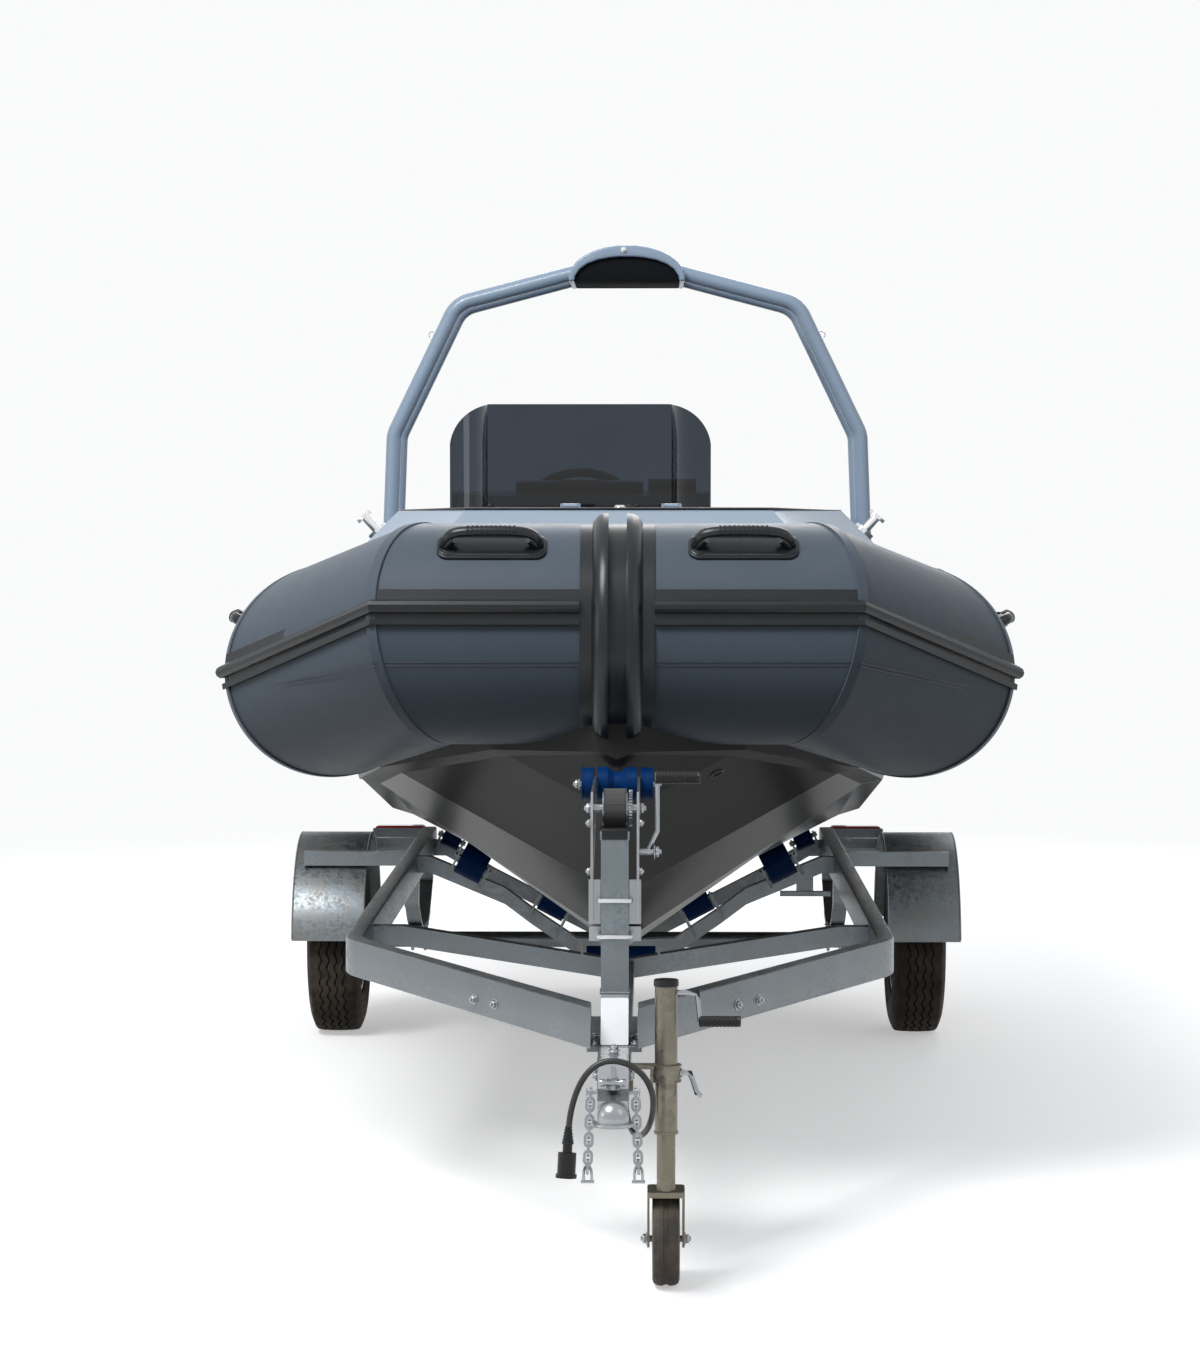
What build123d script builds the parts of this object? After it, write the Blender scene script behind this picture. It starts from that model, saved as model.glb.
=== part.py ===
"""Rigid inflatable boat on its road trailer, parked on the jockey wheel.

Frame: +X to the boat's port side, -Y to the towing end, +Z up, millimetres.
Stations are counted aft of the coupler's ball centre; the ground is z = 0.
"""

import os
from math import atan2, cos, degrees, pi, radians, sin, sqrt, tan

from build123d import *

os.makedirs("parts", exist_ok=True)

# ------------------------------------------------------------------ sizes
seat_gap = 0.3  # between a rigid piece and a round piece it nearly touches
shaft_clearance = 0.05  # radial, in every running bore

# Collar: mitred straight runs of one inflated tube
collar_radius = 262
bow_run_aft = 1140
bow_run_z = 1368
mitre_1_x = 434
mitre_2_x = 705
mitre_2_aft = 1495
mitre_2_z = 1265
stern_run_x = 873
stern_run_aft = 5200
stern_run_z = 1200
cone_length = 440
cone_end_radius = 95

# Rubbing strake round the collar and guard over the bow
strake_bow_angle = 15.7  # centre line above the collar's axis at the bow, degrees
strake_half_angle = 9.2
guard_channel = 21.5
guard_rib = 37.5
guard_rib_height = 27
guard_band = 27.5
guard_band_thickness = 5
guard_top_angle = 76
guard_bottom_angle = -67

# Decks: ridge line and sloping skirt over the collar
deck_bow_aft = 1330
deck_bow_half = 370
deck_bow_z = 1662
deck_corner_x = 547
deck_corner_aft = 1560
deck_stern_x = 745
deck_stern_z = 1603
skirt_bow = (85, 50)  # out, down
skirt_corner = (118, 105)
skirt_stern = (120, 121)
deck_depth = 130
skirt_undercut = 6
deck_inner_bow = 137
deck_inner_side = 112
bow_deck_aft = 2100  # rear edge of the bow deck
hatch_width = 420
hatch_length = 330
hatch_thickness = 18
hatch_ledge = 16
hatch_gap = 5

# Hull
transom_aft = 5160
transom_thickness = 60
transom_top = 862
transom_notch_half = 400
floor_bow_z = 900
floor_slope = 0.04

# Console, screen, seat
console_x = -131
console_half = 378
console_aft = 3056
console_length = 430
console_top = 1652
console_corner = 110
screen_thickness = 6
screen_top = 1966
screen_corner = 130
screen_overlap = 45
screen_return = 250
helm_radius = 170
seat_aft = 3760
seat_length = 420
seat_width = 560
seat_height = 400
cushion_thickness = 90

# Arch: two hoops of round tube
hoop_radius = 24.1
hoop_aft = 4000
hoop_pitch = 280
hoop_foot_x = 758
hoop_knee = (740, 1898)
hoop_shoulder = (540, 2310)
hoop_peak_z = 2452
hood_half = 180
hood_top = hoop_peak_z + 42
hood_bottom = hoop_peak_z - 75
hood_overhang = 62

# Trailer frame
rail_bottom = 512
rail_height = 90
rail_width = 45
rail_half = 683  # outside of the side rails from the centre line
rail_end_aft = 4480
rail_bend_aft = 1475
rail_apex_aft = 330
rail_apex_x = 80
rail_bend_radius = 260
drawbar_width = 70
drawbar_height = 70
drawbar_front_aft = 185
member_height = 50
member_depth = 50
front_member_aft = 1850
middle_member_aft = 3560
rear_member_aft = 4400
keel_roller_radius = 35
keel_roller_length = 180
bilge_roller_radius = 50
bilge_roller_length = 85

# Coupler for a 50 mm ball
ball_z = 415
ball_radius = 25
socket_clearance = 0.3
coupler_wall = 9
flange_lip = 7
flange_drop = 19  # socket rim below the ball's centre

# Wheels and axle
axle_aft = 3950
axle_radius = 25
tyre_radius = 290
tyre_width = 165
bead_radius = 165
wheel_x = 915
stub_radius = 30
fender_inner = 340
fender_sheet = 3
fender_width = 224
fender_outer_x = 1034

# Winch post
post_aft = 425
post_size = 60
post_top = 950
drum_radius = 22
winch_axle_z = 1012

# Jockey wheel
jockey_x = 111
jockey_aft = 250
jockey_tube_radius = 24.2
jockey_leg_radius = 20
jockey_top = 652
jockey_tube_bottom = 335
jockey_wheel_radius = 100
jockey_wheel_width = 60
jockey_trail = 45

# Outboard motor, trimmed up for the road
motor_tilt = 55
tilt_axis_radius = 11
motor_steer_back = 85  # steering axis behind the tilt axis
skeg_tip = (905, 262)  # down the leg, back

# ------------------------------------------------------------------ datum
tilt_aft = transom_aft + 34
tilt_z = transom_top + 52
leg_reach = skeg_tip[0] * sin(radians(motor_tilt)) + skeg_tip[1] * cos(radians(motor_tilt))
rear_aft = tilt_aft + leg_reach
socket_radius = ball_radius + socket_clearance
shell_radius = socket_radius + coupler_wall
flange_radius = shell_radius + flange_lip
ball_y = -(rear_aft - flange_radius) / 2  # puts the origin under the middle of the whole length


def at(x, aft, z):
    """Point of the frame from its station aft of the coupler ball."""
    return Vector(x, ball_y + aft, z)


def across(aft):
    """Plane across the boat at a station, seen from the stern: x to port, y up."""
    return Plane(origin=at(0, aft, 0), x_dir=(1, 0, 0), z_dir=(0, -1, 0))


def lengthwise(x):
    """Plane along the boat at a distance to port: x is the station, y up."""
    return Plane(origin=at(x, 0, 0), x_dir=(0, 1, 0), z_dir=(1, 0, 0))


def level(z):
    """Horizontal plane: x to port, y is the station."""
    return Plane.XY.offset(z).move(Location((0, ball_y, 0)))


def bar(start, end, radius):
    """Round bar between two points, added to the current piece."""
    with BuildSketch(Plane(origin=start, z_dir=end - start)) as section:
        Circle(radius)
    extrude(section.sketch, amount=(end - start).length)


def block(corner_a, corner_b, mode=Mode.ADD):
    """Box between two opposite corners, added to the current piece or cut from it."""
    low = [min(a, b) for a, b in zip(corner_a, corner_b)]
    size = [abs(a - b) for a, b in zip(corner_a, corner_b)]
    with Locations(tuple(low)):
        Box(*size, align=(Align.MIN, Align.MIN, Align.MIN), mode=mode)


def finish(piece, name):
    """Label a finished piece and write it."""
    piece.part.label = name
    export_step(piece.part, f"parts/{name}.step")


# ----------------------------------------------------------------- collar
mitre_1 = at(mitre_1_x, bow_run_aft, bow_run_z)
mitre_2 = at(mitre_2_x, mitre_2_aft, mitre_2_z)
stern_end = at(stern_run_x, stern_run_aft, stern_run_z)
cone_end = stern_end + (stern_end - mitre_2).normalized() * cone_length
bow_way = Vector(1, 0, 0)
shoulder_way = (mitre_2 - mitre_1).normalized()
side_way = (stern_end - mitre_2).normalized()
mitre_1_plane = Plane(origin=mitre_1, z_dir=bow_way + shoulder_way)
mitre_2_plane = Plane(origin=mitre_2, z_dir=shoulder_way + side_way)


def tube_run(start, end, cuts):
    """Straight run of the collar, cut on its mitre planes."""
    way = (end - start).normalized()
    with BuildPart() as run:
        bar(start - way * collar_radius * cuts[0][1], end + way * collar_radius * cuts[1][1], collar_radius)
        for plane, overrun, keep in cuts:
            if overrun:
                split(bisect_by=plane, keep=keep)
    return run.part


shoulder_run = tube_run(mitre_1, mitre_2, [(mitre_1_plane, 1, Keep.TOP), (mitre_2_plane, 1, Keep.BOTTOM)])
side_run = tube_run(mitre_2, stern_end, [(mitre_2_plane, 1, Keep.TOP), (None, 0, None)])

with BuildPart() as collar_port:
    add(shoulder_run)
    add(side_run)
    with BuildSketch(Plane(origin=stern_end, z_dir=side_way)):
        Circle(collar_radius)
    with BuildSketch(Plane(origin=cone_end, z_dir=side_way)):
        Circle(cone_end_radius)
    loft(ruled=True)
finish(collar_port, "collar_port")

with BuildPart() as collar_starboard:
    mirror(collar_port.part, about=Plane.YZ)
finish(collar_starboard, "collar_starboard")

with BuildPart() as collar_bow:
    bar(at(0, bow_run_aft, bow_run_z), mitre_1 + bow_way * collar_radius, collar_radius)
    split(bisect_by=mitre_1_plane, keep=Keep.BOTTOM)
    mirror(about=Plane.YZ)
finish(collar_bow, "collar_bow")


def cut_collar():
    """Cut the collar's shape out of the current piece."""
    add(collar_bow.part, mode=Mode.SUBTRACT)
    add(collar_port.part, mode=Mode.SUBTRACT)
    add(collar_starboard.part, mode=Mode.SUBTRACT)


# ---------------------------------------------------------- rubbing strake
def polar(radius, angle):
    """Outward and upward parts of a point round the collar's axis."""
    return radius * cos(radians(angle)), radius * sin(radians(angle))


# out from the collar's skin, share of the half height (1 is the top edge)
strake_profile = [
    (-14, -1.0),
    (12, -1.0),
    (12, -0.68),
    (4, -0.66),
    (4, -0.36),
    (15, -0.36),
    (23, -0.22),
    (26, -0.02),
    (23, 0.18),
    (15, 0.32),
    (3, 0.34),
    (3, 1.0),
    (-14, 1.0),
]
turn_1 = atan2(mitre_2_x - mitre_1_x, mitre_2_aft - bow_run_aft)  # shoulder run from the boat's axis
turn_2 = atan2(stern_run_x - mitre_2_x, stern_run_aft - mitre_2_aft)
bow_turn = pi / 2
# point of the axis, outward heading from dead ahead, half the turn there, angle of the centre line
strake_stations = [
    (at(guard_channel + guard_rib + guard_band, bow_run_aft, bow_run_z), 0, 0, strake_bow_angle),
    (mitre_1, (bow_turn - turn_1) / 2, (bow_turn - turn_1) / 2, strake_bow_angle),
    (mitre_2, bow_turn - (turn_1 + turn_2) / 2, (turn_1 - turn_2) / 2, 0),
    (stern_end, bow_turn - turn_2, 0, 0),
]

with BuildPart() as strake:
    for centre, heading, half_turn, centre_angle in strake_stations:
        outward = Vector(sin(heading), -cos(heading), 0)
        along = Vector(cos(heading), sin(heading), 0)
        points = []
        for out, share in strake_profile:
            reach, rise = polar(collar_radius + out, centre_angle + share * strake_half_angle)
            points.append((reach / cos(half_turn), rise))
        with BuildSketch(Plane(origin=centre, x_dir=outward, z_dir=outward.cross(Vector(0, 0, 1)))):
            Polygon(*points, align=None)
    loft(ruled=True)
    cut_collar()
    mirror(about=Plane.YZ)
finish(strake, "rub_strake")

# ------------------------------------------------------------ grab handles
handle_length = 255
handle_height = 84
handle_reach = 58
handle_grip = 34
# x to port, aft, z of the collar's axis there, heading of the outward side, angle up from level
shoulder_share = (2050 - mitre_2_aft) / (stern_run_aft - mitre_2_aft)
side_handle_x = mitre_2_x + (stern_run_x - mitre_2_x) * shoulder_share
side_handle_z = mitre_2_z + (stern_run_z - mitre_2_z) * shoulder_share
handle_places = [
    (292, bow_run_aft, bow_run_z, 0, 52),
    (side_handle_x, 2050, side_handle_z, 90 - degrees(turn_2), 24),
]

with BuildPart() as grab_handles:
    for x, aft, z, heading, rise in handle_places:
        outward = Vector(sin(radians(heading)), -cos(radians(heading)), 0)
        along = Vector(cos(radians(heading)), sin(radians(heading)), 0)
        normal = outward * cos(radians(rise)) + Vector(0, 0, 1) * sin(radians(rise))
        pad_plane = Plane(origin=at(x, aft, z) + normal * (collar_radius - 6), x_dir=along, z_dir=normal)
        with BuildSketch(pad_plane) as pad:
            RectangleRounded(handle_length, handle_height, 20)
        extrude(pad.sketch, amount=12)
        with BuildSketch(Plane(origin=pad_plane.origin, x_dir=along, z_dir=along.cross(normal))) as grip:
            Polygon((-118, 12), (118, 12), (100, 44), (70, 64), (-70, 64), (-100, 44), align=None)
            Polygon((-66, 12), (66, 12), (58, 36), (-58, 36), align=None, mode=Mode.SUBTRACT)
        extrude(grip.sketch, amount=handle_grip / 2, both=True)
    cut_collar()
    mirror(about=Plane.YZ)
finish(grab_handles, "grab_handles")

# ------------------------------------------------------------------- decks
corner_1_out = Vector(50, -85, 0).normalized()  # mitre lines of the deck's corners
corner_2_out = Vector(102, -60, 0).normalized()
ridge_middle = at(0, deck_bow_aft, deck_bow_z)
ridge_1 = at(deck_bow_half, deck_bow_aft, deck_bow_z)
ridge_2 = at(deck_corner_x, deck_corner_aft, deck_bow_z)
ridge_stern = at(deck_stern_x, transom_aft, deck_stern_z)


def ridge_at(aft):
    """Point of the side deck's ridge line at a station."""
    share = (aft - deck_corner_aft) / (transom_aft - deck_corner_aft)
    return ridge_2 + (ridge_stern - ridge_2) * share


def deck_ring(stations):
    """Closed deck edge through its stations: flat coaming inside, sloping skirt outside."""
    with BuildPart() as ring:
        for ridge, outward, (out, down), inner in stations:
            with BuildSketch(Plane(origin=ridge, x_dir=outward, z_dir=outward.cross(Vector(0, 0, 1)))):
                Polygon(
                    (-inner, 0), (0, 0), (out, -down),
                    (out - skirt_undercut, -deck_depth - skirt_undercut), (-inner, -deck_depth - skirt_undercut),
                    align=None,
                )
        loft(ruled=True)
    return ring.part


with BuildPart() as side_decks:
    add(deck_ring([
        (ridge_2, corner_2_out, skirt_corner, deck_inner_side),
        (ridge_stern, Vector(1, 0, 0), skirt_stern, deck_inner_side),
    ]))
    cut_collar()
    mirror(about=Plane.YZ)
finish(side_decks, "side_decks")

bow_ring_starboard = [
    (Vector(-ridge_2.X, ridge_2.Y, ridge_2.Z), Vector(-corner_2_out.X, corner_2_out.Y, 0), skirt_corner, deck_inner_side),
    (Vector(-ridge_1.X, ridge_1.Y, ridge_1.Z), Vector(-corner_1_out.X, corner_1_out.Y, 0), skirt_bow, deck_inner_bow),
    (ridge_middle, Vector(0, -1, 0), skirt_bow, deck_inner_bow),
]
bow_ring_port = [
    (ridge_middle, Vector(0, -1, 0), skirt_bow, deck_inner_bow),
    (ridge_1, corner_1_out, skirt_bow, deck_inner_bow),
    (ridge_2, corner_2_out, skirt_corner, deck_inner_side),
]
inner_corner = ridge_2 - corner_2_out * deck_inner_side
hatch_front_aft = deck_bow_aft + deck_inner_bow + 60
deck_plate = 30
hinge_radius = 6
hinge_pin_radius = 3
hinge_z = deck_bow_z + hinge_radius + 3
hinge_aft = hatch_front_aft + hatch_length + hatch_gap + hinge_radius
knuckle_half = 18
hatch_hinges = (-130, 130)  # x of each hinge

with BuildPart() as bow_deck:
    add(deck_ring(bow_ring_starboard))
    add(deck_ring(bow_ring_port))
    with BuildSketch(level(deck_bow_z - deck_plate)):
        with BuildLine():
            Polyline(
                (0, deck_bow_aft + deck_inner_bow / 2),
                (deck_bow_half, deck_bow_aft + deck_inner_bow / 2),
                (inner_corner.X, inner_corner.Y - ball_y),
                (inner_corner.X, bow_deck_aft),
                (0, bow_deck_aft),
            )
            mirror(about=Plane.YZ)
        make_face()
    extrude(amount=deck_plate)
    with BuildSketch(level(deck_bow_z - hatch_thickness)):
        with Locations((0, hatch_front_aft + hatch_length / 2)):
            RectangleRounded(hatch_width + 2 * hatch_gap, hatch_length + 2 * hatch_gap, 40)
    extrude(amount=hatch_thickness, mode=Mode.SUBTRACT)
    with BuildSketch(level(deck_bow_z - deck_depth - 20)):
        with Locations((0, hatch_front_aft + hatch_length / 2)):
            RectangleRounded(hatch_width - 2 * hatch_ledge, hatch_length - 2 * hatch_ledge, 30)
    extrude(amount=deck_depth + 20, mode=Mode.SUBTRACT)
    cut_collar()
    for x in hatch_hinges:
        for side in (-1, 1):
            near, far = x + side * (knuckle_half + 1), x + side * (knuckle_half + 8)
            block(at(near, hinge_aft - hinge_radius, deck_bow_z - 2), at(far, hinge_aft + hinge_radius, hinge_z + hinge_radius))
        bar(at(x - knuckle_half - 4, hinge_aft, hinge_z), at(x + knuckle_half + 4, hinge_aft, hinge_z), hinge_pin_radius)
finish(bow_deck, "bow_deck")

with BuildPart() as bow_hatch:
    with BuildSketch(level(deck_bow_z - hatch_thickness + seat_gap)):
        with Locations((0, hatch_front_aft + hatch_length / 2)):
            RectangleRounded(hatch_width, hatch_length, 36)
    extrude(amount=hatch_thickness - seat_gap)
    for x in hatch_hinges:
        left, right = x - knuckle_half, x + knuckle_half
        block(at(left, hinge_aft - 45, deck_bow_z - 5), at(right, hinge_aft - hinge_radius - hatch_gap, deck_bow_z + 4))
        block(at(left, hinge_aft - 20, deck_bow_z + seat_gap), at(right, hinge_aft, deck_bow_z + 4))
        bar(at(left, hinge_aft, hinge_z), at(right, hinge_aft, hinge_z), hinge_radius)
        with BuildSketch(Plane(origin=at(left - 1, hinge_aft, hinge_z), z_dir=(1, 0, 0))) as pin_bore:
            Circle(hinge_pin_radius + shaft_clearance)
        extrude(pin_bore.sketch, amount=2 * knuckle_half + 2, mode=Mode.SUBTRACT)
finish(bow_hatch, "bow_hatch")

# -------------------------------------------------------------------- hull
# aft, keel z, chine inner x and z, chine outer x and z, top x and z
hull_stations = [
    (966, 1082, 28, 1094, 44, 1100, 60, 1190),
    (1150, 936, 262, 1078, 300, 1092, 340, 1190),
    (1495, 704, 540, 1010, 592, 1024, 640, 1110),
    (1820, 545, 618, 958, 672, 970, 705, 1070),
    (2250, 472, 634, 920, 700, 935, 742, 1050),
    (3560, 392, 652, 724, 716, 744, 800, 1000),
    (transom_aft, 330, 660, 560, 738, 588, 866, 965),
]

with BuildPart() as hull:
    for aft, keel_z, in_x, in_z, out_x, out_z, top_x, top_z in hull_stations:
        with BuildSketch(across(aft)):
            Polygon(
                (0, keel_z), (in_x, in_z), (out_x, out_z), (top_x, top_z),
                (-top_x, top_z), (-out_x, out_z), (-in_x, in_z),
                align=None,
            )
    loft(ruled=True)
    # cockpit well down to the floor
    with BuildSketch(level(500)):
        Polygon(
            (-inner_corner.X, bow_deck_aft), (inner_corner.X, bow_deck_aft),
            (deck_stern_x - deck_inner_side, transom_aft - transom_thickness),
            (deck_inner_side - deck_stern_x, transom_aft - transom_thickness),
            align=None,
        )
    well = extrude(amount=900, mode=Mode.PRIVATE)
    with BuildSketch(lengthwise(-900)):
        Polygon(
            (bow_deck_aft - 50, floor_bow_z),
            (transom_aft, floor_bow_z - (transom_aft - bow_deck_aft) * floor_slope),
            (transom_aft, 1500), (bow_deck_aft - 50, 1500),
            align=None,
        )
    above_floor = extrude(amount=1800, mode=Mode.PRIVATE)
    add(well & above_floor, mode=Mode.SUBTRACT)
    # motor notch
    block(
        at(-transom_notch_half, transom_aft - transom_thickness - 5, transom_top),
        at(transom_notch_half, transom_aft + 5, 1200),
        mode=Mode.SUBTRACT,
    )
    cut_collar()
finish(hull, "hull")

# --------------------------------------------------------------- bow guard
rib_start = guard_channel
rib_end = rib_start + guard_rib
band_end = rib_end + guard_band
guard_base = collar_radius + guard_band_thickness
guard_span = guard_top_angle - guard_bottom_angle

with BuildPart() as bow_guard:
    start_plane = Plane(
        origin=at(0, bow_run_aft, bow_run_z),
        x_dir=(1, 0, 0),
        z_dir=(0, -sin(radians(guard_top_angle)), -cos(radians(guard_top_angle))),
    )
    with BuildSketch(start_plane) as guard_section:
        with BuildLine():
            Polyline((0, collar_radius), (band_end, collar_radius), (band_end, guard_base), (rib_end, guard_base))
            ThreePointArc(
                (rib_end, guard_base),
                (rib_start + guard_rib * 0.64, guard_base + guard_rib_height * 0.77),
                (rib_start, guard_base + guard_rib_height),
            )
            Polyline(
                (rib_start, guard_base + guard_rib_height),
                (rib_start, guard_base),
                (0, guard_base),
                (0, collar_radius),
            )
        make_face()
        mirror(about=Plane.YZ)
    revolve(
        guard_section.sketch,
        axis=Axis(at(0, bow_run_aft, bow_run_z), (1, 0, 0)),
        revolution_arc=guard_span,
    )
    add(hull.part, mode=Mode.SUBTRACT)
finish(bow_guard, "bow_guard")


def floor_z(aft):
    """Height of the cockpit floor at a station."""
    return floor_bow_z - (aft - bow_deck_aft) * floor_slope


def inner_x(aft):
    """Inside of the cockpit's side at a station."""
    share = (aft - (inner_corner.Y - ball_y)) / (transom_aft - (inner_corner.Y - ball_y))
    return inner_corner.X + (deck_stern_x - deck_inner_side - inner_corner.X) * share


def collar_axis(aft):
    """Distance from the middle and height of the side run's axis at a station."""
    share = (aft - mitre_2_aft) / (stern_run_aft - mitre_2_aft)
    return mitre_2_x + (stern_run_x - mitre_2_x) * share, mitre_2_z + (stern_run_z - mitre_2_z) * share


# Cockpit sides between the hull's rim, the collar and the side decks
with BuildPart() as cockpit_sides:
    for aft in (bow_deck_aft, transom_aft - transom_thickness):
        axis_x, axis_z = collar_axis(aft)
        with BuildSketch(across(aft)):
            Polygon(
                (inner_x(aft), axis_z - collar_radius - 40),
                (axis_x - 150, axis_z - collar_radius - 40),
                (axis_x, axis_z - collar_radius + 30),
                (axis_x, ridge_at(aft).Z - deck_depth),
                (inner_x(aft), ridge_at(aft).Z - deck_depth),
                align=None,
            )
    loft(ruled=True)
    add(side_decks.part, mode=Mode.SUBTRACT)
    add(hull.part, mode=Mode.SUBTRACT)
    cut_collar()
    mirror(about=Plane.YZ)
finish(cockpit_sides, "cockpit_sides")

# Closed structure under the bow deck, with the locker under the hatch
locker_depth = 380
locker_front = hull_stations[1][0] + 100
with BuildPart() as bow_locker:
    axis_x, axis_z = collar_axis(bow_deck_aft)
    with BuildSketch(level(bow_run_z - collar_radius - 30)):
        with BuildLine():
            Polyline(
                (0, locker_front), (mitre_1_x - 60, locker_front), (mitre_2_x - 125, mitre_2_aft + 30),
                (axis_x - 110, bow_deck_aft), (0, bow_deck_aft),
            )
            mirror(about=Plane.YZ)
        make_face()
    extrude(amount=deck_bow_z - deck_depth - bow_run_z + collar_radius + 30)
    with BuildSketch(level(deck_bow_z - locker_depth)):
        with Locations((0, hatch_front_aft + hatch_length / 2)):
            RectangleRounded(hatch_width + 60, hatch_length + 40, 30)
    extrude(amount=locker_depth, mode=Mode.SUBTRACT)
    add(hull.part, mode=Mode.SUBTRACT)
    add(bow_deck.part, mode=Mode.SUBTRACT)
    add(side_decks.part, mode=Mode.SUBTRACT)
    cut_collar()
finish(bow_locker, "bow_locker")

# Transom wings either side of the motor notch
stern_axis_x, stern_axis_z = collar_axis(transom_aft)
with BuildPart() as transom_wings:
    with BuildSketch(across(transom_aft)):
        Polygon(
            (transom_notch_half, hull_stations[-1][-1] - 20), (stern_axis_x, hull_stations[-1][-1] - 20),
            (stern_axis_x, deck_stern_z - deck_depth - 6), (transom_notch_half + 90, deck_stern_z - deck_depth - 6),
            (transom_notch_half, 1180),
            align=None,
        )
    extrude(amount=transom_thickness)
    add(hull.part, mode=Mode.SUBTRACT)
    add(side_decks.part, mode=Mode.SUBTRACT)
    cut_collar()
    mirror(about=Plane.YZ)
finish(transom_wings, "transom_wings")

# ------------------------------------------------ console, screen and helm
console_rear = console_aft + console_length
console_port = console_x + console_half
console_starboard = console_x - console_half


def console_outline(grow, rear):
    """Plan of the console: square at the rear, round at the front corners."""
    x0, x1 = console_starboard - grow, console_port + grow
    front = console_aft - grow
    radius = console_corner + grow
    with BuildLine() as outline:
        Line((x0, rear), (x0, front + radius))
        RadiusArc((x0, front + radius), (x0 + radius, front), radius)
        Line((x0 + radius, front), (x1 - radius, front))
        RadiusArc((x1 - radius, front), (x1, front + radius), radius)
        Polyline((x1, front + radius), (x1, rear), (x0, rear))
    make_face(outline.edges())


dash_top_aft = console_aft + 190
with BuildPart() as console:
    with BuildSketch(level(floor_z(console_rear))) as plan:
        console_outline(0, console_rear)
    extrude(plan.sketch, amount=900)
    with BuildSketch(lengthwise(console_starboard - 10)) as side:
        Polygon(
            (console_aft - 10, console_top), (console_aft + 40, console_top + 48), (dash_top_aft, console_top + 62),
            (console_rear - 60, console_top - 150), (console_rear - 90, console_top - 330),
            (console_rear - 90, 700), (console_rear + 10, 700), (console_rear + 10, 2000), (console_aft - 10, 2000),
            align=None,
        )
    extrude(side.sketch, amount=2 * console_half + 20, mode=Mode.SUBTRACT)
    add(hull.part, mode=Mode.SUBTRACT)
finish(console, "console")

# Tinted screen wrapped round the front of the console
screen_rear = console_aft + screen_return
with BuildPart() as windscreen:
    with BuildSketch(level(console_top - screen_overlap)):
        with BuildSketch(mode=Mode.ADD) as outer:
            console_outline(screen_thickness, screen_rear)
        with BuildSketch(mode=Mode.SUBTRACT) as inner:
            console_outline(0, screen_rear + 10)
    extrude(amount=screen_top - console_top + screen_overlap)
    screen_half = console_half + screen_thickness
    with BuildSketch(across(screen_rear + 10)) as front_view:
        with BuildLine() as arch_line:
            Polyline(
                (console_x - screen_half - 1, console_top - screen_overlap),
                (console_x - screen_half - 1, screen_top - screen_corner),
            )
            RadiusArc(
                (console_x - screen_half - 1, screen_top - screen_corner),
                (console_x - screen_half - 1 + screen_corner, screen_top),
                screen_corner,
            )
            Line(
                (console_x - screen_half - 1 + screen_corner, screen_top),
                (console_x + screen_half + 1 - screen_corner, screen_top),
            )
            RadiusArc(
                (console_x + screen_half + 1 - screen_corner, screen_top),
                (console_x + screen_half + 1, screen_top - screen_corner),
                screen_corner,
            )
            Polyline(
                (console_x + screen_half + 1, screen_top - screen_corner),
                (console_x + screen_half + 1, console_top - screen_overlap),
                (console_x - screen_half - 1, console_top - screen_overlap),
            )
        make_face()
    extrude(amount=screen_return + 60, mode=Mode.INTERSECT)
finish(windscreen, "windscreen")

# Steering wheel's seat on the sloping rear of the dash
dash_slope = Vector(0, (console_rear - 60) - dash_top_aft, -212).normalized()
dash_normal = Vector(0, -dash_slope.Z, dash_slope.Y)
helm_seat_point = at(console_x, (console_rear - 60 + dash_top_aft) / 2 + 20, console_top - 44 - 20 * 1.18)
helm_plane = Plane(origin=helm_seat_point, x_dir=(1, 0, 0), z_dir=dash_normal)
helm_shaft_radius = 10

# Instrument box and throttle on the dash, seen through the screen, and the helm's hub
with BuildPart() as dash_pod:
    with BuildSketch(lengthwise(console_x - 190)) as pod_side:
        Polygon(
            (dash_top_aft - 60, console_top + 30), (dash_top_aft - 60, console_top + 88),
            (dash_top_aft + 40, console_top + 96), (dash_top_aft + 60, console_top + 20),
            align=None,
        )
    extrude(pod_side.sketch, amount=375)
    with BuildSketch(lengthwise(console_x + 200)) as throttle_side:
        Polygon(
            (dash_top_aft - 50, console_top + 30), (dash_top_aft - 40, console_top + 80),
            (dash_top_aft - 10, console_top + 98), (dash_top_aft + 30, console_top + 88),
            (dash_top_aft + 56, console_top + 20),
            align=None,
        )
    extrude(throttle_side.sketch, amount=140)
    with BuildSketch(helm_plane.offset(-30)) as hub:
        Circle(46)
        Circle(helm_shaft_radius + shaft_clearance, mode=Mode.SUBTRACT)
    extrude(hub.sketch, amount=70)
    add(console.part, mode=Mode.SUBTRACT)
finish(dash_pod, "dash_pod")

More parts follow.
